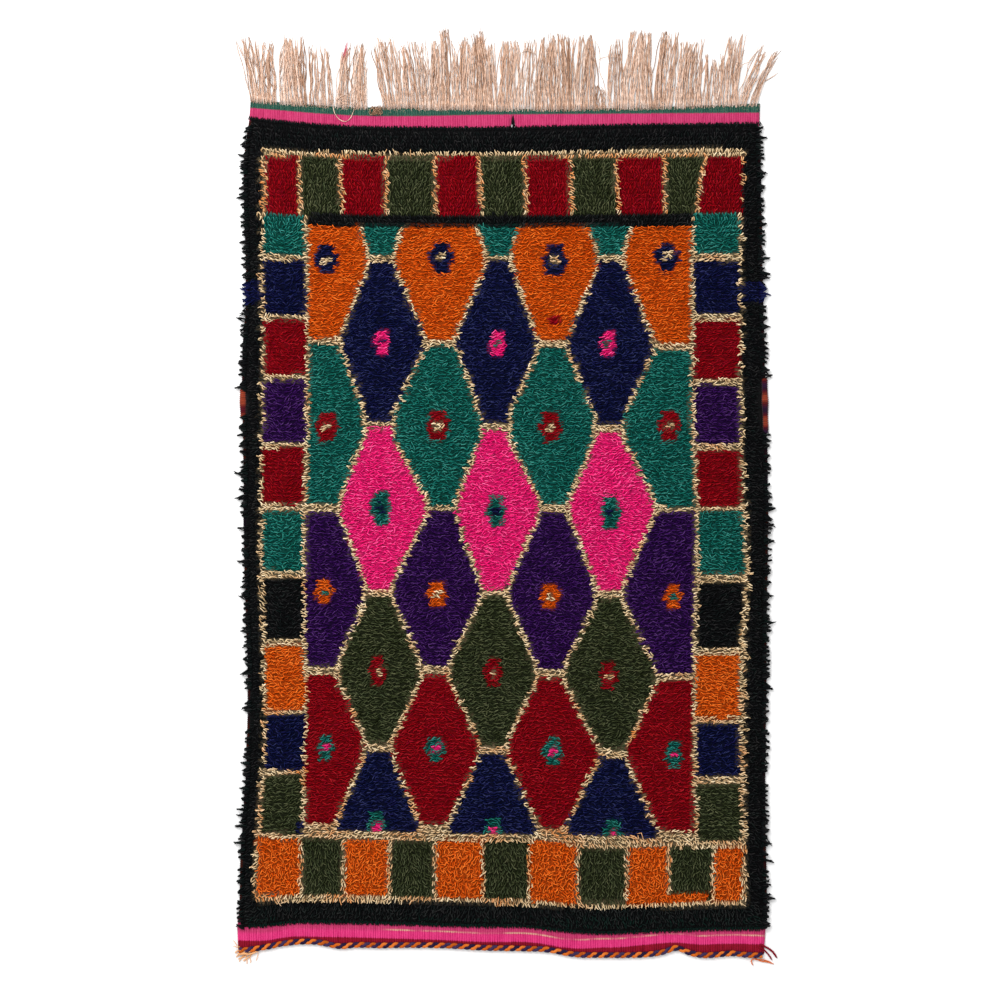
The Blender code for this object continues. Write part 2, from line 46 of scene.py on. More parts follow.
# Lengths are metres. Places on the rug are counted from the middle of its cloth:
# x across the rug and y towards the fringe.
rug = {
    "clothMiddle": (-0.0026, 0.0041),  # the middle of the cloth's box, in the rug's own places
    "seed": 23,
    "leftRim": [  # (y, x) of the pile's left side
        (-0.765, -0.478), (-0.715, -0.480), (-0.580, -0.478),
        (-0.454, -0.470), (-0.274, -0.4655), (-0.130, -0.470),
        (0.014, -0.473), (0.140, -0.4735), (0.230, -0.476),
        (0.330, -0.4745), (0.410, -0.469), (0.470, -0.469),
        (0.590, -0.4725), (0.680, -0.471), (0.734, -0.463), (0.770, -0.459),
    ],
    "rightRim": [
        (-0.765, 0.471), (-0.715, 0.475), (-0.580, 0.474),
        (-0.454, 0.473), (-0.274, 0.475), (-0.130, 0.476),
        (0.014, 0.478), (0.230, 0.474), (0.410, 0.469), (0.590, 0.4655),
        (0.680, 0.464), (0.734, 0.462), (0.770, 0.461),
    ],
    "fringedCloth": [  # (x, y) of the cloth's end under the fringe
        (-0.480, 0.7725), (-0.400, 0.7660), (-0.280, 0.7578), (-0.160, 0.7565),
        (0.015, 0.7542), (0.172, 0.7551), (0.320, 0.7590), (0.480, 0.7645),
    ],
    "fringedPile": [
        (-0.480, 0.7440), (-0.400, 0.7345), (-0.280, 0.7254), (-0.160, 0.7236),
        (0.015, 0.7236), (0.172, 0.7272), (0.320, 0.7290), (0.480, 0.7312),
    ],
    "cordedCloth": [
        (-0.490, -0.7560), (-0.465, -0.7547), (-0.445, -0.7520), (-0.424, -0.7483), (-0.402, -0.7438),
        (-0.380, -0.7409), (-0.343, -0.7400), (-0.323, -0.7429), (-0.301, -0.7475), (-0.264, -0.7456),
        (-0.225, -0.7466), (-0.188, -0.7460), (-0.098, -0.7471), (-0.044, -0.7504), (0.050, -0.7526),
        (0.070, -0.7534), (0.130, -0.7630), (0.180, -0.7639), (0.225, -0.7639), (0.265, -0.7620),
        (0.287, -0.7580), (0.309, -0.7511), (0.331, -0.7590), (0.354, -0.7640), (0.386, -0.7628),
        (0.409, -0.7608), (0.433, -0.7634), (0.490, -0.7640),
    ],
    "cordedPile": [
        (-0.490, -0.7210), (-0.440, -0.7200), (-0.385, -0.7140),
        (-0.303, -0.7132), (-0.188, -0.7160), (-0.044, -0.7200),
        (0.028, -0.7206), (0.100, -0.7280), (0.172, -0.7326), (0.250, -0.7300),
        (0.309, -0.7280), (0.352, -0.7262), (0.490, -0.7255),
    ],
}

clothLow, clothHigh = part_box("ground_weave")
shift = np.array([
    (clothLow.x + clothHigh.x) / 2 - rug["clothMiddle"][0],
    (clothLow.y + clothHigh.y) / 2 - rug["clothMiddle"][1],
    0.0,
])
rng = np.random.default_rng(rug["seed"])


def alongTable(table, at):
    # a smooth line through the table's points
    known, values = np.array(table, float).T
    slopes = np.gradient(values, known)
    at = np.clip(np.asarray(at, float), known[0], known[-1])
    i = np.clip(np.searchsorted(known, at) - 1, 0, len(known) - 2)
    gap = known[i + 1] - known[i]
    t = (at - known[i]) / gap
    rise = t * t * (3 - 2 * t)
    lean = (t - 2 * t * t + t ** 3) * slopes[i] + (t ** 3 - t * t) * slopes[i + 1]
    return values[i] * (1 - rise) + values[i + 1] * rise + gap * lean


def leftRim(y):
    return alongTable(rug["leftRim"], y)


def rightRim(y):
    return alongTable(rug["rightRim"], y)


def endLine(name, x):
    return alongTable(rug[name], x)


def within(value, low, high):
    return (value > low) & (value < high)


def ease(low, high, at):
    t = np.clip((at - low) / (high - low), 0, 1)
    return t * t * (3 - 2 * t)


def fitBetween(s, t, half, ends, sides):
    # places at the shares s and t of the way between two sides, which depend on y, and two ends, on x
    x = half * (2 * s - 1)
    for _ in range(3):
        low, high = ends(x)
        y = low + (high - low) * t
        left, right = sides(y)
        x = left + (right - left) * s
    return x, y


def drift(x, y, size, phase):
    # slow wandering between about -1 and 1
    first = np.sin(x / size * 2.1 + phase) * np.cos(y / size * 1.7 - 1.3 * phase)
    second = np.sin((0.6 * x + y) / size * 3.3 + 2.1 * phase)
    return (first + 0.6 * second) / 1.6


def paint(red, green, blue):
    # a wool colour as it is seen, 0 to 255, made ready for a shader
    seen = np.array([red, green, blue]) / 255
    plain = np.where(seen <= 0.04045, seen / 12.92, ((seen + 0.055) / 1.055) ** 2.4)
    return (*(float(v) for v in plain), 1.0)


def makeMesh(name, points, faceGroups, mapGroups=None):
    # the faces of a group have equal corner counts, and mapGroups has a map place for each corner
    mesh = bpy.data.meshes.new(name)
    corners = np.concatenate([group.ravel() for group in faceGroups]).astype(np.int32)
    counts = np.concatenate([np.full(len(group), group.shape[1]) for group in faceGroups])
    starts = np.concatenate([[0], np.cumsum(counts)[:-1]]).astype(np.int32)
    mesh.vertices.add(len(points))
    mesh.vertices.foreach_set("co", (points + shift).astype(np.float32).ravel())
    mesh.loops.add(len(corners))
    mesh.loops.foreach_set("vertex_index", corners)
    mesh.polygons.add(len(starts))
    mesh.polygons.foreach_set("loop_start", starts)
    mesh.polygons.foreach_set("use_smooth", np.ones(len(starts), bool))
    mesh.update(calc_edges=True)
    if mapGroups is not None:
        places = np.concatenate([group.reshape(-1, 2) for group in mapGroups])
        layer = mesh.uv_layers.new(name="OFBake")
        layer.data.foreach_set("uv", places.astype(np.float32).ravel())
    piece = bpy.data.objects.new(name, mesh)
    bpy.context.scene.collection.objects.link(piece)
    return piece


def addShade(piece, values):
    # four numbers for each point, which the materials read
    layer = piece.data.attributes.new("yarnShade", "FLOAT_COLOR", "POINT")
    layer.data.foreach_set("color", np.asarray(values, np.float32).ravel())


def shadeRings(piece, sides, *four):
    # the same four numbers for all points of a yarn's ring
    rings = np.stack(np.broadcast_arrays(*four), axis=-1).reshape(-1, 4)
    addShade(piece, np.repeat(rings, sides, axis=0))


def yarns(name, paths, widths, heights, sides, tips=None, turned=None):
    # a tube along each path: paths is (count, steps, 3), widths and heights are half sizes
    count, steps, _ = paths.shape
    ahead = np.gradient(paths, axis=1)
    ahead /= np.linalg.norm(ahead, axis=2, keepdims=True)
    across = np.cross(ahead, [0.0, 0.0, 1.0])
    across /= np.maximum(np.linalg.norm(across, axis=2, keepdims=True), 1e-9)
    upward = np.cross(across, ahead)
    turn = np.arange(sides) * 2 * math.pi / sides + math.pi / 2
    turn = turn[None, None, :] + (0 if turned is None else turned[:, :, None])
    side = np.cos(turn)[..., None] * widths[:, :, None, None] * across[:, :, None]
    lift = np.sin(turn)[..., None] * heights[:, :, None, None] * upward[:, :, None]
    points = (paths[:, :, None] + side + lift).reshape(-1, 3)
    here = np.arange(count * steps * sides).reshape(count, steps, sides)
    beside = np.roll(here, -1, axis=2)
    walls = np.stack([here[:, :-1], here[:, 1:], beside[:, 1:], beside[:, :-1]], axis=-1)

    # each yarn has its own small cell of the map, its round laid out flat
    cells = math.ceil(math.sqrt(count))
    cellX = (np.arange(count) % cells)[:, None, None, None]
    cellY = (np.arange(count) // cells)[:, None, None, None]
    margin, endPlace, endRound = 0.05, (0.5, 0.97), 0.02  # all as shares of a cell

    def onMap(cell, share):
        return (cell + margin + (1 - 2 * margin) * share) / cells

    u = (np.arange(sides)[:, None] + np.array([0, 0, 1, 1])) / sides
    v = (np.arange(steps - 1)[:, None] + np.array([0, 1, 1, 0])) / steps
    wallMap = np.broadcast_arrays(onMap(cellX, u), onMap(cellY, v[:, None]))
    faceGroups, mapGroups = [walls.reshape(-1, 4)], [np.stack(wallMap, axis=-1)]
    if tips is None:
        middles = np.stack([cellX[:, 0, 0] + endPlace[0], cellY[:, 0, 0] + endPlace[1]], axis=-1)
        around = endRound * np.stack([np.cos(turn[0, :1]), np.sin(turn[0, :1])], axis=-1)
        faceGroups.append(np.concatenate([here[:, 0], here[:, -1, ::-1]]))
        mapGroups += [(middles + around) / cells] * 2
        return makeMesh(name, points, faceGroups, mapGroups)
    tipIndex = len(points) + np.arange(count)
    fans = np.stack([here[:, -1], np.repeat(tipIndex[:, None], sides, 1), beside[:, -1]], axis=-1)
    u = (np.arange(sides)[:, None] + np.array([0, 0.5, 1])) / sides
    v = np.array([steps - 1, steps, steps - 1]) / steps
    fanMap = np.broadcast_arrays(onMap(cellX[:, 0], u), onMap(cellY[:, 0], v))
    faceGroups.append(fans.reshape(-1, 3))
    mapGroups.append(np.stack(fanMap, axis=-1))
    return makeMesh(name, np.concatenate([points, tips]), faceGroups, mapGroups)


def finishPiece(piece, material, slotName, *nodeNames):
    piece.data.materials.append(material)
    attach(piece, "root")
    if nodeNames:
        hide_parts(*nodeNames)
    return piece


def startMaterial(name, roughness, sheen):
    material = bpy.data.materials.new(name)
    material.use_nodes = True
    shader = material.node_tree.nodes["Principled BSDF"]
    shader.inputs["Roughness"].default_value = roughness
    shader.inputs["Sheen Weight"].default_value = sheen
    shader.inputs["Sheen Roughness"].default_value = 0.5
    shader.inputs["Specular IOR Level"].default_value = 0.03
    return material, shader


def addNode(material, kind, settings=None, **values):
    node = material.node_tree.nodes.new(kind)
    for key, value in (settings or {}).items():
        setattr(node, key, value)
    for key, value in values.items():
        socket = node.inputs[int(key[1:])] if key[0] == "i" and key[1:].isdigit() else node.inputs[key]
        if isinstance(value, bpy.types.NodeSocket):
            material.node_tree.links.new(value, socket)
        else:
            socket.default_value = value
    return node


def maths(material, operation, *values):
    sockets = {"i" + str(i): value for i, value in enumerate(values)}
    return addNode(material, "ShaderNodeMath", {"operation": operation}, **sockets).outputs[0]


def times(material, first, second):
    return maths(material, "MULTIPLY", first, second)


def plus(material, first, second):
    return maths(material, "ADD", first, second)


def minus(material, first, second):
    return maths(material, "SUBTRACT", first, second)


def spread(material, value, low, high, toLow=0.0, toHigh=1.0):
    # value runs from toLow to toHigh as it passes from low to high
    return addNode(material, "ShaderNodeMapRange", i0=value, i1=low, i2=high, i3=toLow, i4=toHigh).outputs[0]


def blend(material, factor, first, second, kind="MIX"):
    settings = {"data_type": "RGBA", "blend_type": kind}
    return addNode(material, "ShaderNodeMix", settings, i0=factor, i6=first, i7=second).outputs[2]


def threeTones(material, value, wools, places):
    # the deep, middle and light of a wool, at these places of value
    node = addNode(material, "ShaderNodeValToRGB", Fac=value)
    elements = node.color_ramp.elements
    elements[0].position, elements[0].color = places[0], paint(*wools[0])
    elements[1].position, elements[1].color = places[2], paint(*wools[2])
    elements.new(places[1]).color = paint(*wools[1])
    return node.outputs[0]


def ownPlace(material):
    return addNode(material, "ShaderNodeTexCoord").outputs["Object"]


def stretchedNoise(material, coordinate, scale, size, detail=3.0):
    place = addNode(material, "ShaderNodeMapping", i0=coordinate, i3=scale)
    noise = addNode(material, "ShaderNodeTexNoise", Vector=place.outputs[0], Scale=size, Detail=detail)
    return noise.outputs["Fac"]


def setColour(material, shader, colour):
    material.node_tree.links.new(colour, shader.inputs["Base Color"])


def addBump(material, shader, height, strength, distance):
    bump = addNode(material, "ShaderNodeBump", Height=height, Strength=strength, Distance=distance)
    material.node_tree.links.new(bump.outputs[0], shader.inputs["Normal"])


def shadeParts(material):
    # the four numbers that addShade gave: tone, place along the yarn, tint, spare
    shade = addNode(material, "ShaderNodeAttribute", {"attribute_name": "yarnShade"})
    split = addNode(material, "ShaderNodeSeparateColor", Color=shade.outputs["Color"])
    return split.outputs[0], split.outputs[1], split.outputs[2], shade.outputs["Alpha"]


spunWool = {
    "fibres": (9.0, 2.6),  # streaks round the yarn and along it
    "fibreSize": 100.0,
    "paintedRootShade": (0.38, -0.06),  # painted shade, darker at the root and paler towards the tip: how much, and from where
    "toneShare": 0.62,
    "fibreShare": 0.55,
    "places": (0.08, 0.48, 0.92),  # of the deep, middle and light wool
    "bump": (0.6, 0.0006),
}


def yarnMaterial(name, wools, fibres=spunWool["fibres"]):
    # each yarn has its own tone, with painted shade darker towards its root and paler towards its tip,
    # streaked by its fibres; the fourth wool is its tint
    material, shader = startMaterial(name, 0.95, 0.0)
    tone, along, tint, _ = shadeParts(material)
    surface = addNode(material, "ShaderNodeUVMap", {"uv_map": "OFBake"}).outputs[0]
    streak = stretchedNoise(material, surface, (*fibres, 1.0), spunWool["fibreSize"])
    value = maths(material, "MULTIPLY_ADD", along, *spunWool["paintedRootShade"])
    value = plus(material, value, times(material, tone, spunWool["toneShare"]))
    value = plus(material, value, times(material, minus(material, streak, 0.5), spunWool["fibreShare"]))
    colour = threeTones(material, value, wools, spunWool["places"])
    setColour(material, shader, blend(material, tint, colour, paint(*wools[3])))
    addBump(material, shader, streak, *spunWool["bump"])
    return material


# The pile's drawing, in squares of 1.8 mm: x to the right and y down
chart = {
    "square": 0.0018,
    "middle": (504.5, 528.0),  # the cloth's middle
    "halfway": 500,
    "edgeMiddles": (700.0, 300.0),  # the black edge's locks lie away from these, left and right of halfway
    "wools": ["black", "beige", "red", "olive", "teal", "navy", "orange", "pink", "purple"],
    "border": {
        "left": [
            (148, 261), (350, 262), (560, 260.5), (640, 262.5), (750, 263), (800, 259), (836, 256),
            (900, 253),
        ],
        "right": [
            (148, 743.5), (215, 742), (380, 742), (520, 746), (580, 748.5), (625, 746),
            (700, 744.5), (900, 746),
        ],
        "top": [
            (255, 149.5), (300, 151.5), (345, 153.5), (500, 153.5), (600, 152), (640, 150),
            (745, 149.5),
        ],
        "bottom": [(250, 901), (400, 901), (500, 903), (575, 906), (640, 906), (750, 905.5)],
        "notch": (2.2, 12.0, 0.15, 0.07),  # its sides step in and out: how deep, how often, how unevenly
    },
    "topBlocks": {
        "top": [(264, 158), (743, 158)], "bottom": [(264, 215.2), (743, 215.2)],
        "gap": 2.1, "wools": ["red", "olive"],
        "edges": [264, 299.5, 338.5, 386.5, 434.5, 478, 523.5, 571, 615, 664, 704, 743],
        "slants": [0, 0, 5, 0, 1, 4, 3, 0, 3, 0, -9, 0],  # how far each edge has moved at the bottom
    },
    "leftBlocks": {
        "left": [(213, 265.5), (560, 265), (640, 266.5), (760, 267), (800, 264), (836, 262)],
        "right": [
            (213, 304.5), (300, 306), (450, 305), (520, 303), (640, 303.5), (700, 304.5),
            (760, 303), (836, 301.5),
        ],
        "gap": 3.2,
        "wools": ["teal", "navy", "red", "purple", "red", "teal", "black", "orange", "navy", "olive"],
        "edges": [211.5, 258, 317.5, 377.5, 445.5, 508, 574, 642.5, 712.5, 772, 836],
    },
    "rightBlocks": {
        "left": [
            (211, 695), (350, 694), (430, 695), (500, 698), (580, 699), (640, 696), (740, 696),
            (842, 698),
        ],
        "right": [
            (211, 738.5), (380, 738.5), (450, 740), (540, 742), (580, 744), (625, 740),
            (720, 738.5), (842, 740.5),
        ],
        "gap": 3.4,
        "wools": ["teal", "navy", "red", "purple", "red", "teal", "black", "orange", "navy", "olive"],
        "edges": [209, 257.5, 317.5, 381.5, 447, 509, 578, 651, 720.5, 780, 842],
    },
    "bottomBlocks": {
        "top": [(262, 838), (430, 840), (560, 843), (590, 847.5), (650, 847), (740, 846)],
        "bottom": [(262, 894), (400, 895), (490, 897), (550, 901), (740, 900.5)],
        "gap": 1.9, "wools": ["orange", "olive"],
        "edges": [256, 301, 344, 390, 435, 483, 529, 578, 626, 669, 712.5, 742],
    },
    "line": {"left": 308, "right": 692, "top": 215, "bottom": 227},  # the black line under the top blocks
    "field": {
        "left": [
            (215, 309.5), (300, 310), (450, 309.5), (520, 307), (640, 307.5), (700, 308.5),
            (760, 307), (845, 306),
        ],
        "right": [
            (215, 690.5), (350, 689.5), (430, 690.5), (500, 693.5), (580, 694.5), (640, 691.5),
            (740, 691.5), (845, 694),
        ],
        "top": 227, "bottom": 831,
        "outline": 2.4,
        "fuller": (400, 470, 0.12),  # from where to where its outlines grow fuller, and by how much
        "missed": (0.84, 0.13),  # how rarely a knot of theirs is missed, and how much rarer it is there
        "stair": 8.2, "stairShare": 0.8,  # the slanting lines go in steps of two rows
        "leanFrom": 441, "leftLean": 0.5,
        # rows drop to the right, more in the lower half
        "tilt": [
            (227, 0.0), (259, 0.0), (343, 0.014), (425, 0.020), (506, 0.004), (592, 0.012),
            (670, 0.026), (830, 0.026),
        ],
        # where shapes narrow to a tip: how far down, which shapes, their middles, half a tip's width
        # and how far its two lines run straight down on either side
        "tips": [
            (227, "narrow", (381.8, 497.5, 609.5), 21.8, 0),
            (259, "narrow", (381.5, 498.3, 610.7), 12.8, 6),
            (343, "wide", (326, 440.7, 552.5, 668.5), 14.8, 4),
            (425, "narrow", (379.3, 495, 609), 14.6, 13),
            (508, "wide", (325.5, 441.5, 554, 669), 14.0, 6),
            (592, "narrow", (379, 494.5, 609), 13.4, 7),
            (671, "wide", (324.5, 435.5, 550.5, 670), 13.8, 7),
            (748, "narrow", (378.5, 493, 612.5), 13.0, 5),
            (828, "wide", (322.5, 434, 551.5, 671), 13.8, 5),
        ],
        # wide rows run border to border, narrow ones fill what those leave
        "wide": [
            {"top": 227, "bottom": 340, "wool": "orange", "motif": "navy", "scale": (1.40, 1.10),
             "hearts": ("beige",), "at": ((327, 260), (441, 258), (554.5, 261), (667, 257))},
            {"top": 346, "bottom": 505, "wool": "teal", "motif": "red", "scale": (1.28, 1.02),
             "hearts": ("beige",), "at": ((327.5, 427), (438, 426), (550.5, 428), (669, 426))},
            {"top": 512, "bottom": 667, "wool": "purple", "motif": "orange", "scale": (1.13, 0.86),
             "hearts": ("teal", "beige", "beige", "teal"),
             "at": ((325, 592.5), (437, 594), (550, 596), (672.5, 597))},
            {"top": 675, "bottom": 824, "wool": "red", "motif": "teal", "scale": (1.10, 0.93),
             "hearts": ("pink",), "at": ((326.5, 747), (435.5, 748), (552.5, 751), (673.5, 755))},
        ],
        "narrow": [
            {"top": 227, "bottom": 255, "wool": "teal"},
            {"top": 262, "bottom": 421.5, "wool": "navy", "motif": "pink", "scale": (0.90, 0.86),
             "hearts": ("navy", "teal", "teal"), "at": ((382, 341.5), (497.5, 345.5), (607.5, 345))},
            {"top": 428.5, "bottom": 589, "wool": "pink", "motif": "teal", "scale": (1.14, 1.18),
             "hearts": ("navy",), "at": ((381, 508), (496.5, 511), (610.5, 512))},
            {"top": 596, "bottom": 744, "wool": "olive", "motif": "red", "scale": (0.95, 0.94),
             "hearts": ("beige",), "at": ((378.5, 671), (493, 672), (608, 676))},
            {"top": 752, "bottom": 831, "wool": "navy", "motif": "teal", "scale": (1.0, 1.0),
             "hearts": ("pink",), "at": ((377, 826), (493.5, 831), (613, 834))},
        ],
    },
    # a red darn in an orange shape, a navy spot, and orange over the bottom line: middle, half sizes and wool
    "odd": [((555, 321), (6.5, 5.0), "red"), ((299.5, 826.5), (4.0, 5.5), "navy"),
            ((667, 896.5), (39, 4.4), "orange")],
    "navyRows": (281, 303),  # the black side borders turn navy here
    "motif": {"bars": [(-14.0, -4.8, 5.8), (-4.8, 4.8, 8.6), (4.8, 14.0, 5.8)], "heart": (3.3, 3.6)},
}


def onChart(x, y):
    return x / chart["square"] + chart["middle"][0], chart["middle"][1] - y / chart["square"]


def offChart(across, down):
    return (across - chart["middle"][0]) * chart["square"], (chart["middle"][1] - down) * chart["square"]


def shapeLines(down, level):
    # the lines between the field's shapes, from its left side to its right
    field = chart["field"]
    crossings, tipLevels = [], []
    for tipLevel, kind, middles, half, straight in field["tips"]:
        edges = [tip + side * half for tip in middles for side in (-1, 1)]
        crossings += [edges if kind == "narrow" else edges[1:-1]] * 2
        tipLevels += [tipLevel - straight, tipLevel + straight + 0.01]
    stairs = (np.floor(level / field["stair"]) + 0.5) * field["stair"]
    stepped = field["stairShare"] * stairs + (1 - field["stairShare"]) * level
    inner = [np.interp(stepped, tipLevels, crossing) for crossing in np.transpose(crossings)]
    return np.stack([alongTable(field["left"], down)] + inner + [alongTable(field["right"], down)], axis=-1)


def readChart(across, down):
    # the wool of the knots at these places, and the middle of the shape that each is in
    number = {wool: i for i, wool in enumerate(chart["wools"])}
    wool = np.full(across.shape, number["black"])
    middle = np.where(across < chart["halfway"], *chart["edgeMiddles"])

    def fill(where, name, shapeMiddle=None):
        wool[where] = number[name]
        if shapeMiddle is not None:
            middle[where] = shapeMiddle

    border = chart["border"]
    notchDeep, notchPitch, stray, strayPitch = border["notch"]
    notch = notchDeep * (2 * np.mod(down / notchPitch + stray * np.sin(down * strayPitch), 1) - 1)
    left, right = alongTable(border["left"], down) + notch, alongTable(border["right"], down) + notch
    inside = within(across, left, right)
    inside &= within(down, alongTable(border["top"], across), alongTable(border["bottom"], across))
    fill(inside, "beige", chart["middle"][0])

    for name in ("topBlocks", "bottomBlocks"):
        blocks = chart[name]
        top, bottom = alongTable(blocks["top"], across), alongTable(blocks["bottom"], across)
        inRow, share = within(down, top, bottom), (down - top) / (bottom - top)
        sides = list(zip(blocks["edges"], blocks.get("slants", [0] * len(blocks["edges"]))))
        for i, ((left, leftSlant), (right, rightSlant)) in enumerate(zip(sides, sides[1:])):
            start = left + leftSlant * share + blocks["gap"]
            stop = right + rightSlant * share - blocks["gap"]
            fill(inRow & within(across, start, stop), blocks["wools"][i % 2], (left + right) / 2)

    for name in ("leftBlocks", "rightBlocks"):
        blocks = chart[name]
        inColumn = within(across, alongTable(blocks["left"], down), alongTable(blocks["right"], down))
        blockMiddle = (blocks["left"][0][1] + blocks["right"][0][1]) / 2
        for blockWool, top, bottom in zip(blocks["wools"], blocks["edges"], blocks["edges"][1:]):
            fill(inColumn & within(down, top + blocks["gap"], bottom - blocks["gap"]), blockWool, blockMiddle)

    strip = chart["line"]
    inStrip = within(across, strip["left"], strip["right"]) & within(down, strip["top"], strip["bottom"])
    fill(inStrip, "black", chart["middle"][0])
    fill(~inside & within(down, *chart["navyRows"]), "navy")

    field = chart["field"]
    aslant = np.where(across < field["leanFrom"], field["leftLean"], 1.0) * alongTable(field["tilt"], down)
    level = down - (across - field["leanFrom"]) * aslant
    lines = shapeLines(down, level)
    inField = within(across, lines[..., 0], lines[..., -1])
    inField &= (down > field["top"]) & (level < field["bottom"])
    # even columns hold wide shapes and odd ones narrow shapes
    column = (across[..., None] > lines[..., 1:-1]).sum(axis=-1)
    fullerFrom, fullerTo, fuller = field["fuller"]
    lower = ease(fullerFrom, fullerTo, down)
    fromLine = np.abs(across[..., None] - lines[..., 1:-1]).min(axis=-1)
    onOutline = fromLine < field["outline"] * (1 + fuller * lower)
    rarely, rarer = field["missed"]
    missed = np.sin(across * 12.9 + down * 78.2) > rarely + rarer * lower  # as good as random
    nearLine, farLine = (np.take_along_axis(lines, column[..., None] + k, axis=-1)[..., 0] for k in (0, 1))
    fill(inField, "beige", ((nearLine + farLine) / 2)[inField])
    heartWide, heartTall = chart["motif"]["heart"]
    for kind, odd in (("wide", 0), ("narrow", 1)):
        for row in field[kind]:
            inRow = inField & (column % 2 == odd) & within(level, row["top"], row["bottom"])
            fill(inRow & (~onOutline | missed), row["wool"])
            for i, (motifAcross, motifDown) in enumerate(row.get("at", ())):
                here = inRow & (column == 2 * i + odd)
                aside = np.abs(across - motifAcross) / row["scale"][0]
                below = (down - motifDown) / row["scale"][1]
                for low, high, half in chart["motif"]["bars"]:
                    fill(here & (aside < half) & within(below, low, high), row["motif"])
                heart = (aside < heartWide) & (np.abs(below) < heartTall)
                fill(here & heart, row["hearts"][i % len(row["hearts"])])
    for (oddAcross, oddDown), (halfAcross, halfDown), name in chart["odd"]:
        offset = np.maximum(np.abs(across - oddAcross) / halfAcross, np.abs(down - oddDown) / halfDown)
        fill(offset < 1, name)
    return wool, middle


pile = {
    "rows": 200,
    "columns": 131,
    "half": 0.47,  # of its width, roughly
    "stray": (0.2, 0.08),  # how far knots are out of line, in columns and rows
    "sideInset": 0.0085,  # first knots behind the rim, whose locks reach out to it
    "endInset": 0.0055,
    "lockLength": (0.0088, 0.0118),
    "lockLift": (0.0035, 0.0065),
    "lockWidth": 0.00112,
    "lockHeight": 0.00095,
    "widthRange": (0.82, 1.2),
    "curl": 0.26,
    "pairGap": 0.0031,  # between the two locks of a knot
    "paintedLowerShade": 0.20,  # painted shade: how much darker the lower one is, with painted light on the upper one
    "lowerLift": 0.0012,
    "sunk": 0.0016,  # lock roots below the bed's top
    "back": 0.42,  # how much of a lock lies behind its knot
    "lowest": 0.0014,
    "pale": {"length": 0.92, "lift": 0.0018, "width": 1.16},  # the pale outlines' locks
    "spikes": {"share": 0.04, "lowShare": 0.10, "lowFrom": 890, "length": 1.75, "width": 0.75},
    "edge": {"reach": 0.016, "flatter": 0.65, "fall": 0.005, "endReach": 0.014, "endLength": 0.74},
    "bare": {  # where a side cord shows: from and to on the chart, and the share of locks that is missing
        "left": [
            (389, 417, 1.0), (446, 452, 0.6), (520, 528, 0.6),
            (684, 700, 0.5), (716, 738, 0.5), (855, 868, 0.5),
        ],
        "right": [
            (378, 432, 1.0), (447, 459, 0.7), (477, 491, 0.8), (551, 559, 0.9),
            (722, 734, 0.5), (768, 786, 0.5), (852, 866, 0.5),
        ],
    },
    "bareDepth": 0.008,
    "wools": {  # deep, middle and light of each wool, then the tint some of its locks take
        "black": [(7, 7, 9), (19, 19, 21), (48, 46, 46), (14, 38, 32)],
        "beige": [(118, 98, 68), (213, 187, 144), (250, 231, 196), (214, 132, 66)],
        "red": [(96, 0, 6), (138, 5, 17), (164, 28, 36), (112, 10, 44)],
        "olive": [(16, 22, 4), (54, 60, 36), (94, 96, 68), (84, 96, 70)],
        "teal": [(0, 50, 44), (20, 104, 92), (66, 144, 132), (26, 84, 96)],
        "navy": [(0, 2, 28), (17, 23, 64), (54, 60, 102), (36, 27, 84)],
        "orange": [(156, 42, 0), (212, 84, 13), (236, 123, 44), (170, 66, 14)],
        "pink": [(204, 8, 92), (240, 32, 118), (250, 104, 164), (200, 50, 120)],
        "purple": [(20, 0, 42), (51, 16, 80), (88, 54, 114), (63, 28, 77)],
    },
}
bed = {  # the knots' feet under the locks
    "height": 0.0125,
    "footHeight": 0.0036,
    "underside": 0.0033,
    "shoulder": 0.026,
    "lumps": 0.0012,
    "step": 0.0090,
    "length": 1.44,
    "sideInset": 0.006,
    "endInset": 0.003,
    "light": 0.24,  # painted shade: how light it is under a wool, as a share of the wool's middle colour
    "paintedShadeUnder": {"beige": 0.16, "pink": 0.44, "red": 0.42, "orange": 0.36},
}
lay = {  # the way locks lie; places are on the chart
    "contrary": 0.14,  # the share that lies into its shape
    "top": (212, 240), "bottom": (826, 850),  # locks turn up above, down below
    "left": (252, 262), "right": (742, 752), "leftBlocks": (296, 312),
    "turn": 0.68, "outerTurn": 0.8, "leftLift": 0.45, "outerDrop": 0.12,
    "topGaps": {"rows": (160, 211), "angle": -0.6},
    "worms": {"from": 836, "spread": 0.9},  # curly orange in the bottom blocks
    "drift": 0.32, "random": 0.29,
}


def edgeDistance(x, y):
    # how far inside the pile's outline a place is
    sides = np.minimum(x - leftRim(y), rightRim(y) - x) - pile["sideInset"]
    return np.minimum(sides, endDistance(x, y) - pile["endInset"])


def endDistance(x, y):
    return np.minimum(endLine("fringedPile", x) - y, y - endLine("cordedPile", x))


def pileEnds(inset):
    return lambda x: (endLine("cordedPile", x) + inset, endLine("fringedPile", x) - inset)


def bareShare(side, y):
    # the share of missing locks along one side
    _, down = onChart(0, np.asarray(y))
    missing = np.zeros(down.shape)
    for start, stop, share in pile["bare"][side]:
        missing = np.where(within(down, start, stop), share, missing)
    return missing


def isBare(side, y):
    return bareShare(side, y) > 0.9


def bedTop(x, y):
    rise = ease(-0.004, bed["shoulder"], edgeDistance(x, y))
    lumps = bed["lumps"] * (drift(x, y, 0.05, 1.0) + 0.7 * drift(x, y, 0.021, 2.0))
    return bed["footHeight"] + (bed["height"] - bed["footHeight"]) * rise + lumps * rise


def isWool(wool, name):
    return wool == chart["wools"].index(name)


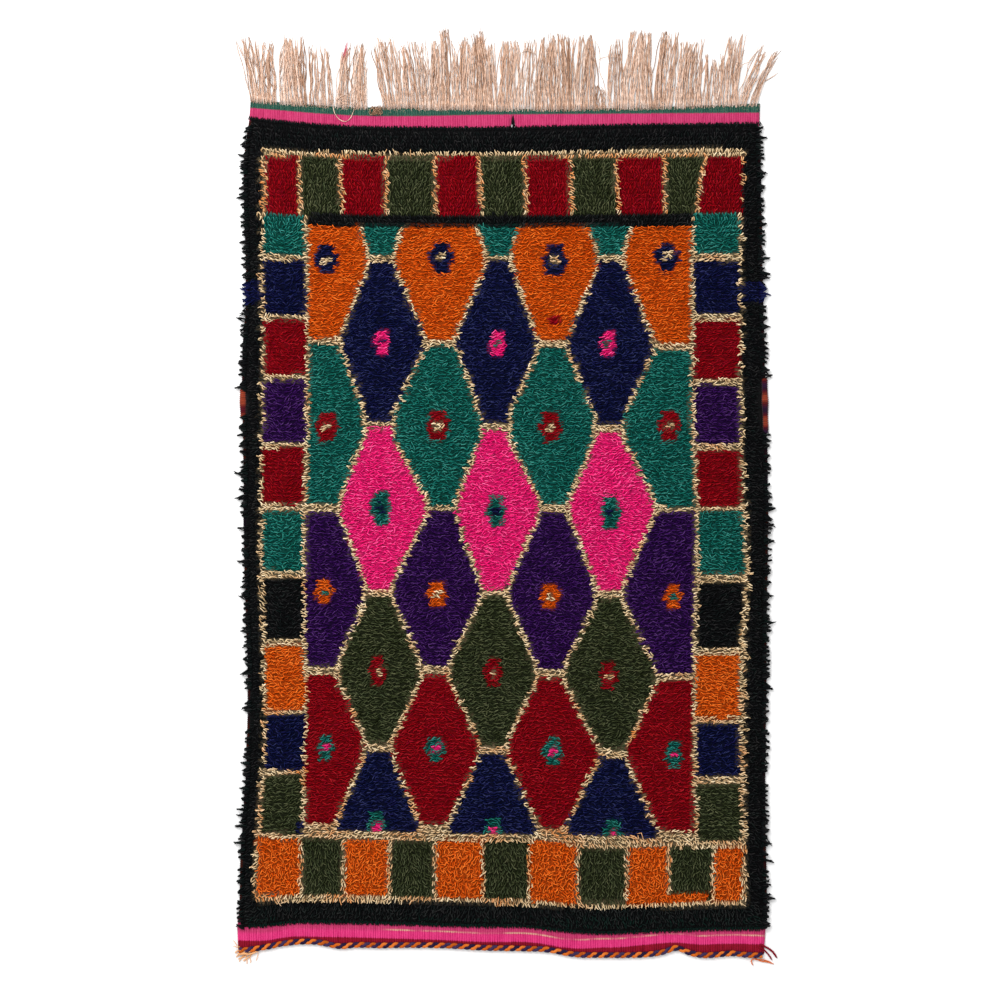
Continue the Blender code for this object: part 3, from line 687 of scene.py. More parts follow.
def knotPlaces():
    row, column = np.meshgrid(np.arange(pile["rows"]), np.arange(pile["columns"]), indexing="ij")
    strayAcross, strayAlong = pile["stray"]
    s = column + 0.5 + 0.25 * np.where(row % 2, 1, -1) + rng.uniform(-strayAcross, strayAcross, row.shape)
    t = row + 0.5 + rng.uniform(-strayAlong, strayAlong, row.shape)
    inset = pile["sideInset"]
    return fitBetween(s.ravel() / pile["columns"], t.ravel() / pile["rows"], pile["half"],
                      pileEnds(pile["endInset"]), lambda y: (leftRim(y) + inset, rightRim(y) - inset))


def layAngles(x, y, across, down, wool, middle):
    # the way each lock lies: along the row, out of its shape, up at the top and down at the bottom
    side = np.where(across > middle, 1.0, -1.0) * np.where(rng.random(len(x)) < lay["contrary"], -1, 1)
    toTop, toBottom = 1 - ease(*lay["top"], down), ease(*lay["bottom"], down)
    outer = np.maximum(1 - ease(*lay["left"], across), ease(*lay["right"], across))
    leftEdge = 1 - ease(*lay["leftBlocks"], across)
    outward = np.where(across < chart["halfway"], -1.0, 1.0)
    ahead = side * (1 - lay["turn"] * np.maximum(toTop, toBottom))
    ahead = ahead * (1 - outer) + outward * outer
    lift = (toTop - toBottom) * (1 - lay["outerTurn"] * outer) - lay["outerDrop"] * outer
    lift += lay["leftLift"] * leftEdge * (1 - outer) * (1 - toBottom)
    angle = np.arctan2(lift, ahead)
    topGaps = isWool(wool, "beige") & within(down, *lay["topGaps"]["rows"])
    angle = np.where(topGaps, lay["topGaps"]["angle"], angle)
    worms = isWool(wool, "orange") & (down > lay["worms"]["from"])
    angle = angle + np.where(worms, rng.normal(0, lay["worms"]["spread"], len(x)), 0)
    return angle + lay["drift"] * drift(x, y, 0.06, 4.0) + rng.normal(0, lay["random"], len(x))


def growLocks(name, x, y, rootZ, angle, length, lift, width, curl, fall, shade, back=0.0):
    # arching locks of three rings and a tip
    heading = np.stack([np.cos(angle), np.sin(angle), np.zeros(len(x))], axis=1)
    aside = np.stack([-np.sin(angle), np.cos(angle), np.zeros(len(x))], axis=1)
    steps = np.array([0.0, 0.42, 0.84, 1.0])
    out = np.array([0.0, 0.40, 0.86, 1.0]) - back
    high = np.array([0.0, 0.90, 0.94, 0.78])
    wave = np.array([0.0, 0.5, -0.25, -0.5])
    taper = np.array([0.85, 1.0, 0.80])
    path = np.stack([x, y, rootZ], axis=1)[:, None] + heading[:, None] * (length[:, None] * out)[..., None]
    path += aside[:, None] * (curl[:, None] * length[:, None] * wave)[..., None]
    path[..., 2] += lift[:, None] * high - fall[:, None] * steps ** 2
    path[..., 2] = np.maximum(path[..., 2], pile["lowest"])
    widths = width[:, None] * taper
    heights = widths * pile["lockHeight"] / pile["lockWidth"]
    turned = rng.uniform(-0.5, 0.5, len(x))[:, None] * np.arange(3)
    piece = yarns(name, path[:, :3], widths, heights, 3, tips=path[:, 3], turned=turned)
    tone, tint = shade[:, :1], shade[:, 1:]
    # the second number, the place along the lock, gives its root painted shade in the yarn material
    rings = np.stack(np.broadcast_arrays(tone, steps[:3], tint, 1.0), axis=-1).repeat(3, axis=1)
    tips = np.stack(np.broadcast_arrays(tone, 1.0, tint, 1.0), axis=-1)
    addShade(piece, np.concatenate([rings.reshape(-1, 4), tips.reshape(-1, 4)]))
    return piece


def lockShapes(x, y, down, wool, lower):
    # length, lift, half width, curl and fall of each lock
    count = len(x)
    beige, pale, edge, spikes = isWool(wool, "beige"), pile["pale"], pile["edge"], pile["spikes"]
    length = rng.uniform(*pile["lockLength"], count) * np.where(beige, pale["length"], 1.0)
    lift = rng.uniform(*pile["lockLift"], count)
    lift += np.where(beige, pale["lift"], 0.0) - np.where(lower, pile["lowerLift"], 0.0)
    nearEdge = 1 - ease(0.0, edge["reach"], edgeDistance(x, y))
    lift = lift * (1 - edge["flatter"] * nearEdge)
    length = np.where(endDistance(x, y) < edge["endReach"], length * edge["endLength"], length)
    fall = nearEdge * rng.uniform(0.0, edge["fall"], count)
    width = pile["lockWidth"] * rng.uniform(*pile["widthRange"], count) * np.where(beige, pale["width"], 1.0)
    # a few pale locks are long and thin
    spikeShare = np.where(down > spikes["lowFrom"], spikes["lowShare"], spikes["share"])
    spike = beige & (rng.random(count) < spikeShare)
    length = length * np.where(spike, spikes["length"], 1.0)
    width = width * np.where(spike, spikes["width"], 1.0)
    return length, lift, width, rng.normal(0, pile["curl"], count), fall


shades = {  # rows and columns are places on the chart
    "drift": 0.14,
    "random": 0.22,
    "tint": (0.05, 0.1),
    "dyed": {"from": 690, "above": -0.35, "below": 0.25, "share": (0.3, 1.0)},  # pale outlines, partly orange
    "topGaps": {"rows": (156, 213), "tint": (0.2, 0.9)},
    "lowBlack": {"from": 905, "fullFrom": 917, "share": 0.35, "tone": 0.20, "tint": (0.0, 0.9)},
    "border": {"rows": (214, 838), "columns": (304, 696), "deeper": 0.14, "paintedLightOrange": 0.24,
               "brightFrom": 600},
}


def lockShades(x, y, across, down, wool, lower):
    # tone and tint of each lock
    count = len(x)
    beige, redOrNavy = isWool(wool, "beige"), isWool(wool, "red") | isWool(wool, "navy")
    tone = 0.5 + shades["drift"] * drift(x, y, 0.03, 7.0) + rng.normal(0, shades["random"], count)
    # painted shade on the lower lock of each knot and painted light on the upper one
    tone = np.clip(tone + pile["paintedLowerShade"] * np.where(lower, -0.5, 0.5), 0, 1)
    tint = np.clip(rng.normal(*shades["tint"], count), 0, 0.5)
    dye = shades["dyed"]
    dyed = np.clip(drift(x, y, 0.045, 9.0) + np.where(down > dye["from"], dye["below"], dye["above"]), 0, 1)
    tint = np.where(beige, np.maximum(tint, dyed * rng.uniform(*dye["share"], count)), tint)
    gaps = shades["topGaps"]
    tint = np.where(beige & within(down, *gaps["rows"]), rng.uniform(*gaps["tint"], count), tint)
    low = shades["lowBlack"]
    lowBlack = isWool(wool, "black") & (down > low["from"])
    lowTint = rng.uniform(*low["tint"], count) * np.where(down > low["fullFrom"], 1.0, low["share"])
    tint = np.where(lowBlack, lowTint, tint)
    tone = np.where(lowBlack, np.clip(tone + low["tone"], 0, 1), tone)
    # the border's blocks are deeper in red and navy than the field, and lighter in orange, as painted light
    # that offsets the shade among their locks
    border = shades["border"]
    inBorder = ~within(down, *border["rows"]) | ~within(across, *border["columns"])
    paintedLightOrange = inBorder & isWool(wool, "orange") & (down > border["brightFrom"])
    tone = tone - border["deeper"] * (inBorder & redOrNavy) + border["paintedLightOrange"] * paintedLightOrange
    return np.clip(tone, 0, 1), tint


def buildPile():
    x, y = knotPlaces()
    across, down = onChart(x, y)
    wool, middle = readChart(across + 0.5 * drift(x, y, 0.018, 3.0), down + 0.5 * drift(x, y, 0.02, 5.0))
    # two locks to a knot, side by side
    bare = np.where(x < 0, isBare("left", y), isBare("right", y)) & (edgeDistance(x, y) < pile["bareDepth"])
    x, y, wool, middle = (np.repeat(v[~bare], 2) for v in (x, y, wool, middle))
    across, down = onChart(x, y)
    count = len(x)
    angle = layAngles(x, y, across, down, wool, middle)
    beside = np.tile([-0.5, 0.5], count // 2) * pile["pairGap"]
    lower = np.cos(angle) * beside < 0
    x = x - np.sin(angle) * beside + rng.normal(0, 0.0006, count)
    y = y + np.cos(angle) * beside + rng.normal(0, 0.0004, count)
    length, lift, width, curl, fall = lockShapes(x, y, down, wool, lower)
    tone, tint = lockShades(x, y, across, down, wool, lower)
    rootZ = bedTop(x, y) - pile["sunk"]
    shade = np.stack([tone, tint], axis=1)
    for i, name in enumerate(chart["wools"]):
        own = (v[wool == i] for v in (x, y, rootZ, angle, length, lift, width, curl, fall, shade))
        material = yarnMaterial(name + "Wool", pile["wools"][name])
        finishPiece(growLocks(name + "Locks", *own, back=pile["back"]), material, "pile_wool")
        print(name, "locks:", int((wool == i).sum()))


rim = {  # pointed tufts of longer locks over the two sides
    "from": -0.716,
    "to": 0.728,
    "pitch": 0.0084,
    "stray": 0.0022,
    "locks": 6,
    "reach": (0.0002, 0.0058),  # past the rim
    "longShare": 0.18,
    "longReach": (0.004, 0.010),
    "hang": (-0.001, 0.0032),  # tips hang a little towards the corded end
    "rootSpread": 0.0052,
    "rootInset": (0.0095, 0.0125),
    "tipShare": (0.35, 1.05),
    "endFrom": -0.460,
    "endPitch": 0.0017,  # short locks along the pile's two ends
    "endInset": 0.0075,
    "endLength": (0.0062, 0.0090),
    "slitLocks": 16,
}


def rimPlaces(side, rimLine, outward):
    # root x and y, angle and length of the locks over one side
    tuftY = np.arange(rim["from"], rim["to"], rim["pitch"])
    tuftY = tuftY + rng.uniform(-rim["stray"], rim["stray"], len(tuftY))
    tuftY = tuftY[rng.random(len(tuftY)) > bareShare(side, tuftY)]
    count = len(tuftY)
    reach = rng.uniform(*rim["reach"], count)
    reach += (rng.random(count) < rim["longShare"]) * rng.uniform(*rim["longReach"], count)
    hang = rng.normal(*rim["hang"], count)
    places = []
    for _ in range(rim["locks"]):
        rootY = tuftY + rng.uniform(-rim["rootSpread"], rim["rootSpread"], count)
        rootX = rimLine(rootY) - outward * rng.uniform(*rim["rootInset"], count)
        tipX = rimLine(tuftY) + outward * reach * rng.uniform(*rim["tipShare"], count)
        tipY = tuftY + hang + rng.normal(0, 0.0008, count)
        angle = np.arctan2(tipY - rootY, tipX - rootX)
        places.append(np.stack([rootX, rootY, angle, np.hypot(tipX - rootX, tipY - rootY)]))
    return places


def buildRimLocks():
    places = [np.concatenate(rimPlaces("left", leftRim, -1.0) + rimPlaces("right", rightRim, 1.0), axis=1)]
    for name, way in (("fringedPile", 1.0), ("cordedPile", -1.0)):
        x = np.arange(rim["endFrom"], -rim["endFrom"], rim["endPitch"])
        x = x + rng.normal(0, 0.0008, len(x))
        y = endLine(name, x) - way * rim["endInset"]
        angle = way * (math.pi / 2 + rng.normal(0, 0.22, len(x)))
        places.append(np.stack([x, y, angle, rng.uniform(*rim["endLength"], len(x))]))
    slit, inSlit = weave["slit"], rim["slitLocks"]
    x = slit["x"] + rng.uniform(-0.0022, 0.0022, inSlit)
    y = rng.uniform(slit["low"] - 0.004, slit["high"] - 0.012, inSlit)
    angle = math.pi / 2 + rng.normal(0, 0.12, inSlit)
    places.append(np.stack([x, y, angle, rng.uniform(0.008, 0.011, inSlit)]))
    kind = np.repeat(np.arange(4), [part.shape[1] for part in places])
    x, y, angle, length = np.concatenate(places, axis=1)
    count = len(x)

    def each(*values):
        # one for each kind: side, fringed end, corded end, slit
        return np.choose(kind, values)

    rootZ = each(rng.uniform(0.0058, 0.0090, count), 0.0062, 0.0062, 0.0012)
    fall = each(rng.uniform(0.0025, 0.0055, count), 0.0030, 0.0030, 0.0)
    lift = each(rng.uniform(0.0, 0.002, count), 0.0004, 0.0004, 0.0004)
    width = each(rng.uniform(0.0013, 0.0019, count), 0.0011, 0.0011, 0.0015)
    tint = each(np.clip(rng.normal(0.05, 0.15, count), 0, 1), 0.1, rng.uniform(0.25, 1.0, count), 0.0)
    shade = np.stack([np.clip(rng.normal(0.5, 0.22, count), 0, 1), tint], axis=1)
    curl = rng.normal(0, 0.16, count)
    navy = (kind == 0) & within(onChart(x, y)[1], *chart["navyRows"])
    for name, these, wool in (("rimLocks", ~navy, "blackWool"), ("navyRimLocks", navy, "navyWool")):
        own = (v[these] for v in (x, y, rootZ, angle, length, lift, width, curl, fall, shade))
        finishPiece(growLocks(name, *own), bpy.data.materials[wool], "pile_wool")


def bedMaterial():
    # the knots' feet between the locks, in each wool's colour darkened as painted shade
    material, shader = startMaterial("pileBed", 0.95, 0.05)
    shade = addNode(material, "ShaderNodeAttribute", {"attribute_name": "bedShadedColour"})
    strands = stretchedNoise(material, ownPlace(material), (0.28, 1.0, 1.0), 620.0)
    light = spread(material, strands, 0.3, 0.7, 0.35, 1.5)
    setColour(material, shader, blend(material, 1.0, shade.outputs["Color"], light, "MULTIPLY"))
    addBump(material, shader, strands, 1.0, 0.0015)
    return material


def gridFaces(rows, columns):
    here = np.arange(rows * columns).reshape(rows, columns)
    return np.stack([here[:-1, :-1], here[:-1, 1:], here[1:, 1:], here[1:, :-1]], axis=-1)


def buildBed():
    columns, rows = int(2 * pile["half"] / bed["step"]), int(bed["length"] / bed["step"])
    s, t = np.meshgrid(np.linspace(0, 1, columns), np.linspace(0, 1, rows))

    def sides(y):
        left = leftRim(y) + bed["sideInset"] + pile["bareDepth"] * isBare("left", y)
        return left, rightRim(y) - bed["sideInset"] - pile["bareDepth"] * isBare("right", y)

    x, y = fitBetween(s, t, pile["half"], pileEnds(bed["endInset"]), sides)
    top = np.stack([x, y, bedTop(x, y)], axis=-1).reshape(-1, 3)
    here = np.arange(rows * columns).reshape(rows, columns)
    around = np.concatenate([here[0, :-1], here[:-1, -1], here[-1, :0:-1], here[:0:-1, 0]])
    foot = top[around].copy()
    foot[:, 2] = bed["underside"]
    footIndex = len(top) + np.arange(len(around))
    walls = np.stack([footIndex, np.roll(footIndex, -1), np.roll(around, -1), around], axis=1)
    points = np.concatenate([top, foot])
    faces = [gridFaces(rows, columns).reshape(-1, 4), walls, footIndex[::-1][None]]
    piece = makeMesh("pileBed", points, faces)
    wool, _ = readChart(*onChart(points[:, 0], points[:, 1]))
    colours = np.array([paint(*pile["wools"][name][1]) for name in chart["wools"]])
    # painted shade: each wool's middle colour darkened where the locks shade the bed
    colours *= np.array([[bed["paintedShadeUnder"].get(name, bed["light"])] for name in chart["wools"]])
    colours[:, 3] = 1.0
    layer = piece.data.attributes.new("bedShadedColour", "FLOAT_COLOR", "POINT")
    layer.data.foreach_set("color", colours[wool].astype(np.float32).ravel())
    return finishPiece(piece, bedMaterial(), "pile_wool", "pile")


weave = {
    "thickness": 0.0029,
    "underCord": 0.0034,  # how far its corded end runs under the twisted cord
    "thinner": (0.0015, 0.0022),  # under that cord: by how much, and over what way
    "half": 0.46,  # of its width, roughly
    "columns": 124,
    "endRows": 9,
    "endShare": 0.030,  # of its length, with closer rows
    "middleRows": 22,
    "ripple": 0.0005,
    "slit": {"x": 0.0155, "low": 0.7245, "high": 0.7470, "width": 0.0075, "least": 0.0002},
    "greenEdge": [(-0.458, 0.7560), (-0.280, 0.7427), (0.015, 0.7443), (0.462, 0.7475)],  # green over pink
    "redEdge": [  # dark red under pink
        (-0.480, -0.7418), (-0.428, -0.7420), (-0.395, -0.7364), (-0.314, -0.7358), (-0.188, -0.7388),
        (-0.116, -0.7411), (-0.044, -0.7445), (0.062, -0.7470), (0.100, -0.7537), (0.136, -0.7565),
        (0.172, -0.7547), (0.208, -0.7540), (0.262, -0.7487), (0.307, -0.7457), (0.352, -0.7493),
        (0.397, -0.7478), (0.470, -0.7490),
    ],
    "leftInset": [
        (-0.765, -0.0010), (-0.715, -0.0010), (-0.690, 0.0085), (0.690, 0.0085), (0.735, 0.0035),
        (0.775, 0.0020),
    ],
    "rightInset": [
        (-0.765, 0.0042), (-0.715, 0.0052), (-0.690, 0.0085), (0.690, 0.0085), (0.735, 0.0030),
        (0.775, 0.0010),
    ],
    "pink": [(130, 24, 62), (168, 40, 86), (192, 70, 112)],
    "magenta": [(150, 20, 76), (194, 36, 100), (216, 70, 128)],  # nearer the twisted cord
    "green": [(8, 42, 36), (24, 66, 56), (62, 96, 82)],
    "darkRed": [(72, 0, 14), (116, 6, 26), (146, 22, 46)],
    "hidden": (22, 18, 18),  # where the pile hides it
    "pale": (206, 172, 140),
    "tonePlaces": (0.32, 0.5, 0.70),
    # bands are stored as metres plus one half, so that they stay positive
    "bandEdge": 0.5,
    "toPink": (0.511, 0.517),  # from magenta to the duller pink
    "nearFringe": (0.504, 0.512),  # more pale flecks from here
    "paleLine": (0.5146, 0.5172),
    "paleLineFrom": (-0.23, -0.19),  # across the rug
    "softEdge": 0.0006,
    "teeth": 0.004,
    "plainHalf": 0.70,  # the pile hides it within this
}


def weaveMaterial():
    material, shader = startMaterial("flatWeave", 0.88, 0.1)
    topBand, bottomBand, side, shown = shadeParts(material)
    place = ownPlace(material)

    def waves(direction, size, **settings):
        return addNode(material, "ShaderNodeTexWave", {"wave_type": "BANDS", "bands_direction": direction},
                       Vector=place, Scale=size, **settings).outputs["Fac"]

    # warp ribs run out to the fringe
    uneven = stretchedNoise(material, place, (1.0, 0.10, 0.4), 420.0, 2.0)
    warps = waves("X", 100.0, Distortion=1.2, Detail=1.0)
    ribs = plus(material, times(material, uneven, 0.6), times(material, warps, 0.4))
    wefts = waves("Y", 170.0, Distortion=3.0)
    flecks = stretchedNoise(material, place, (1.0, 0.7, 1.0), 700.0)
    grain = plus(material, times(material, ribs, 0.62), times(material, wefts, 0.12))
    grain = plus(material, grain, times(material, flecks, 0.30))

    def step(value, edge):
        toothed = maths(material, "MULTIPLY_ADD", minus(material, ribs, 0.5), weave["teeth"], value)
        return spread(material, toothed, edge - weave["softEdge"], edge + weave["softEdge"])

    magenta, pink, green, darkRed = (
        threeTones(material, grain, weave[name], weave["tonePlaces"])
        for name in ("magenta", "pink", "green", "darkRed"))
    pink = blend(material, spread(material, bottomBand, *weave["toPink"]), magenta, pink)
    # pale warps show through the green stripe as flecks
    fleck = spread(material, flecks, 0.60, 0.68, 0.0, 0.6)
    nearFringe = spread(material, topBand, *weave["nearFringe"], 0.15, 1.0)
    green = blend(material, times(material, fleck, nearFringe), green, paint(*weave["pale"]))
    colour = blend(material, step(topBand, weave["bandEdge"]), pink, green)
    # a broken pale line in the pink, only over part of the end
    lineStart, lineStop = (step(bottomBand, edge) for edge in weave["paleLine"])
    paleLine = times(material, times(material, lineStart, minus(material, 1.0, lineStop)), side)
    worn = spread(material, stretchedNoise(material, place, (0.5, 1.0, 1.0), 60.0, 4.0), 0.40, 0.56, 0.1, 0.9)
    dashes = spread(material, ribs, 0.40, 0.52, 0.15, 1.0)
    paleLine = times(material, paleLine, times(material, worn, dashes))
    colour = blend(material, paleLine, colour, paint(*weave["pale"]))
    colour = blend(material, step(bottomBand, weave["bandEdge"]), darkRed, colour)
    setColour(material, shader, blend(material, shown, paint(*weave["hidden"]), colour))
    addBump(material, shader, plus(material, ribs, times(material, wefts, 0.35)), 0.7, 0.0010)
    return material


def openSlit(x, y):
    # two warps part on either side of the slit; gives its column and the rows that it leaves out
    slit = weave["slit"]
    first = int(np.argmin(np.abs(x[-1] - slit["x"])))
    first -= int(x[-1, first] > slit["x"])
    gape = np.clip((slit["high"] - y[:, first]) / (slit["high"] - slit["low"]), 0, 1)
    near = y[:, first] > slit["low"] - 0.006
    for column, side in ((first, -1), (first + 1, 1)):
        x[near, column] = slit["x"] + side * (slit["least"] + slit["width"] / 2 * gape[near])
    x[:, first - 1] = (x[:, first - 2] + x[:, first]) / 2
    x[:, first + 2] = (x[:, first + 1] + x[:, first + 3]) / 2
    return first, near[:-1] & (gape[1:] > 0.0) & (y[:-1, first] < slit["high"])


def weaveSides(y):
    leftInset, rightInset = (np.interp(y, *np.transpose(weave[name])) for name in ("leftInset", "rightInset"))
    return leftRim(y) + leftInset, rightRim(y) - rightInset


def buildWeave():
    endShare, middleRows = weave["endShare"], weave["middleRows"]
    closeRows = np.linspace(0, endShare, weave["endRows"])
    openRows = endShare + (1 - 2 * endShare) * np.arange(1, middleRows) / middleRows
    t = np.concatenate([closeRows, openRows, 1 - closeRows[::-1]])
    s, t = np.meshgrid(np.linspace(0, 1, weave["columns"]), t)
    x, y = fitBetween(s, t, weave["half"],
                      lambda x: (endLine("cordedCloth", x) - weave["underCord"], endLine("fringedCloth", x)),
                      weaveSides)
    slitColumn, leftOut = openSlit(x, y)
    rows, columns = x.shape
    filled = np.ones((rows - 1, columns - 1), bool)
    filled[:, slitColumn] = ~leftOut
    ripple = weave["ripple"] * drift(x, y, 0.012, 1.5) * ease(0.70, 0.73, np.abs(y))
    thinner, way = weave["thinner"]
    thin = thinner * (1 - ease(0, way, y - endLine("cordedCloth", x)))
    topZ = weave["thickness"] - 0.0004 + ripple * 0.6 - thin
    top = np.stack([x, y, topZ], axis=-1).reshape(-1, 3)
    under = np.stack([x, y, np.full(x.shape, 0.0001)], axis=-1).reshape(-1, 3)
    # a wall wherever a filled cell has an empty one beside it
    here = np.arange(rows * columns).reshape(rows, columns)
    padded = np.pad(filled, 1)
    walls = []
    for (down, right), start, stop in (((0, -1), (1, 0), (0, 0)), ((0, 1), (0, 1), (1, 1)),
                                       ((-1, 0), (0, 0), (0, 1)), ((1, 0), (1, 1), (1, 0))):
        beside = padded[1 + down:rows + down, 1 + right:columns + right]
        r, c = np.nonzero(filled & ~beside)
        first, last = here[r + start[0], c + start[1]], here[r + stop[0], c + stop[1]]
        walls.append(np.stack([last, first, first + len(top), last + len(top)], axis=1))
    topFaces = gridFaces(rows, columns)[filled]
    points = np.concatenate([top, under])
    piece = makeMesh("groundWeave", points, [topFaces, topFaces[:, ::-1] + len(top), np.concatenate(walls)])
    hidden = np.abs(points[:, 1]) < weave["plainHalf"]
    topBand, bottomBand = (
        weave["bandEdge"] + points[:, 1] - alongTable(weave[edge], points[:, 0])
        for edge in ("greenEdge", "redEdge"))
    addShade(piece, np.stack([
        np.where(hidden, 0.4, topBand),
        np.where(points[:, 1] > 0, 0.9, bottomBand),
        ease(*weave["paleLineFrom"], points[:, 0]),
        np.where(hidden, 0.0, 1.0),
    ], axis=1))
    return finishPiece(piece, weaveMaterial(), "flat_weave", "ground_weave")


selvedge = {
    "width": 0.0048,
    "height": 0.0023,
    "lie": 0.0024,
    "wrapPitch": 0.0034,
    "waist": 0.74,  # between two wraps
    "inset": 0.0022,
    "bareInset": 0.0004,  # where the pile leaves it bare, it lies further out and swells
    "bareSwell": 0.42,
    "shadow": 0.18,  # how light it is under the rim locks
    # painted shade in the grooves between two wraps: how light they are
    "waistShadeLight": 0.45,
    "wools": [(138, 56, 36), (84, 14, 22), (40, 18, 44)],  # rust, dark red, dark purple
    "tonePlaces": (0.30, 0.52, 0.72),
    "bareTone": {"left": 0.32, "right": 0.5},
}


def selvedgeMaterial():
    material, shader = startMaterial("overcastWool", 0.9, 0.12)
    # the second number darkens the grooves between wraps as painted shade; the fourth, bare, is 1 where the
    # side is bare and painted shadow under the rim locks elsewhere
    stretch, waistShade, tone, bare = shadeParts(material)
    fibres = stretchedNoise(material, ownPlace(material), (0.35, 1.0, 1.0), 900.0)
    light = plus(material, times(material, fibres, 1.1), times(material, tone, 0.5))
    light = times(material, times(material, light, times(material, waistShade, 1.2)), bare)
    wools = threeTones(material, stretch, selvedge["wools"], selvedge["tonePlaces"])
    setColour(material, shader, blend(material, 1.0, wools, light, "MULTIPLY"))
    addBump(material, shader, fibres, 0.8, 0.0006)
    return material


def buildSelvedges():
    material = selvedgeMaterial()
    for side, rimLine, inward in (("left", leftRim, 1), ("right", rightRim, -1)):
        low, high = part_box("selvedge_" + side)
        start, stop = low.y - shift[1] + 0.001, high.y - shift[1] - 0.001
        wraps = int((stop - start) / selvedge["wrapPitch"])
        steps = np.arange(2 * wraps + 1)  # every second one is a wrap's crest
        y = start + (stop - start) * steps / (2 * wraps)
        bare = isBare(side, y)
        swell = 0.86 + 0.08 * np.sin(y * 61) + 0.06 * np.sin(y * 143 + 1.0)
        swell = swell * (1 + selvedge["bareSwell"] * bare)
        inset = np.where(bare, selvedge["bareInset"], selvedge["inset"])
        x = rimLine(y) + inward * (inset + selvedge["width"])
        path = np.stack([x, y, np.maximum(selvedge["lie"], selvedge["height"] * swell)], axis=1)[None]
        size = (swell * np.where(steps % 2, 1.0, selvedge["waist"]))[None]
        piece = yarns(side + "Selvedge", path, selvedge["width"] * size, selvedge["height"] * size, 8)
        stretch = 0.5 + 0.30 * np.sin(y * 23 + inward) + 0.22 * np.sin(y * 57 + 2 * inward)
        stretch = np.where(bare, selvedge["bareTone"][side] + 0.24 * np.sin(y * 150 + 1.0), stretch)
        # painted shade in the grooves between wraps
        waistShade = np.where(steps % 2, 1.0, selvedge["waistShadeLight"])
        # painted shadow under the rim locks, except where the side is bare
        light = np.where(bare, 1.0, selvedge["shadow"])
        shadeRings(piece, 8, stretch, waistShade, rng.uniform(0, 1, len(y)), light)
        finishPiece(piece, material, "selvedge_wool", "selvedge_" + side)


# Bunches on the chart: from and to across where the warps leave the cloth, the same at their tips,
# the highest and lowest tip, and how many warps
fringe = {
    "bunches": [
        (251, 260, 236, 255, 33, 41, 15), (260, 276, 261, 272, 40, 52, 22),
        (280, 294, 281, 291, 34, 42, 20),
        (294, 307, 290, 302, 35, 46, 19), (308, 334, 309, 331, 37, 58, 19),
        (335, 349, 343, 349, 40, 50, 15),
        (351, 368, 357, 365, 42, 50, 22), (383, 400, 371, 392, 36, 46, 20),
        (400, 418, 397, 408, 44, 50, 16),
        (418, 429, 408, 428, 37, 42, 16), (429, 439, 429, 439, 36, 42, 15),
        (439, 450, 441, 448, 27, 34, 17),
        (450, 457, 450, 458, 38, 52, 8), (457, 474, 460, 475, 36, 42, 24), (474, 488, 475, 482, 27, 36, 20),
        (488, 497, 486, 495, 42, 47, 12), (497, 519, 504, 517, 39, 46, 28),
        (519, 535, 527, 536, 38, 60, 12),
        (535, 549, 538, 552, 36, 44, 18), (549, 566, 550, 562, 31, 38, 24),
        (566, 581, 562, 590, 34, 40, 22),
        (581, 595, 583, 592, 32, 38, 15), (596, 606, 594, 604, 84, 97, 8), (606, 622, 609, 623, 38, 60, 13),
        (620, 640, 630, 645, 29, 40, 26), (640, 652, 640, 652, 28, 37, 17),
        (652, 672, 659, 678, 30, 40, 25),
        (674, 697, 680, 704, 37, 42, 30), (697, 721, 701, 726, 52, 60, 22),
        (722, 737, 729, 743, 32, 40, 22),
        (738, 746, 759, 771, 44, 50, 10), (748, 757, 774, 783, 50, 64, 7),
    ],
    "fullness": 1.38,
    "tuftWidth": 4.8,  # squares between the tips that its strands run to
    "steps": 12,
    "halfWidth": 0.00092,
    "widthRange": (0.75, 1.2),
    "rootOnCloth": 0.006,
    "rootHeight": 0.0034,
    "tipHeight": 0.0009,
    "arch": 0.0030,
    "shortShare": 0.15,
    "bend": 0.0034,
    "wave": 0.0014,
    "hook": 0.0032, "hookShare": 0.35, "hookFrom": 0.85,
    "wools": [(140, 100, 74), (220, 181, 156), (255, 244, 236), (122, 86, 54)],
    "stain": (206, 96, 116),  # a few tips are pink
    "singles": [  # lone warps: one loops back over the flat weave, others cross their neighbours
        [(333, 106), (335, 114), (340, 120), (345, 122), (350, 119), (353, 113), (355, 107)],
        [(598, 60), (604, 57.5), (611, 57), (617, 57.5), (622, 59)],
        [(606, 96), (604, 84), (599, 70), (600, 56), (598, 46), (594, 40)],
        [(617, 88), (612, 74), (609, 62), (610, 50), (613, 41)],
        [(740, 68), (744, 64), (749, 62), (753, 57), (755, 53)],
        [(345, 73), (349, 68), (353, 58), (355, 50), (353, 44)],
        [(521, 54), (525, 51), (531, 52), (536, 55)],
        [(520, 78), (525, 79), (529, 78)],
    ],
    "wraps": [  # one warp end is wound about its neighbours before it loops
        [(338, 106), (338, 100), (341, 96.5), (347, 96), (352, 98), (353, 102), (351, 105)],
        [(339, 103), (344, 101), (352, 101.5)],
        [(339, 105.5), (345, 104), (352, 105)],
        [(341, 99), (346, 98.5), (351, 100)],
    ],
    "lone": {"height": 0.0044, "half": 0.0008, "tone": 0.62},
    "snarl": {"middle": (376.5, 111.0), "strands": 14, "across": 0.0125, "along": 0.0085, "height": 0.0040,
              "half": 0.0007},  # dark, on the green stripe
    "pinkTips": (343, 349, 54),
}


def fringeMaterial():
    material = yarnMaterial("warpYarn", fringe["wools"], fibres=(5.0, 12.0))
    shader = material.node_tree.nodes["Principled BSDF"]
    plain = shader.inputs["Base Color"].links[0].from_socket
    stain = minus(material, 1.0, shadeParts(material)[3])
    setColour(material, shader, blend(material, stain, plain, paint(*fringe["stain"])))
    return material


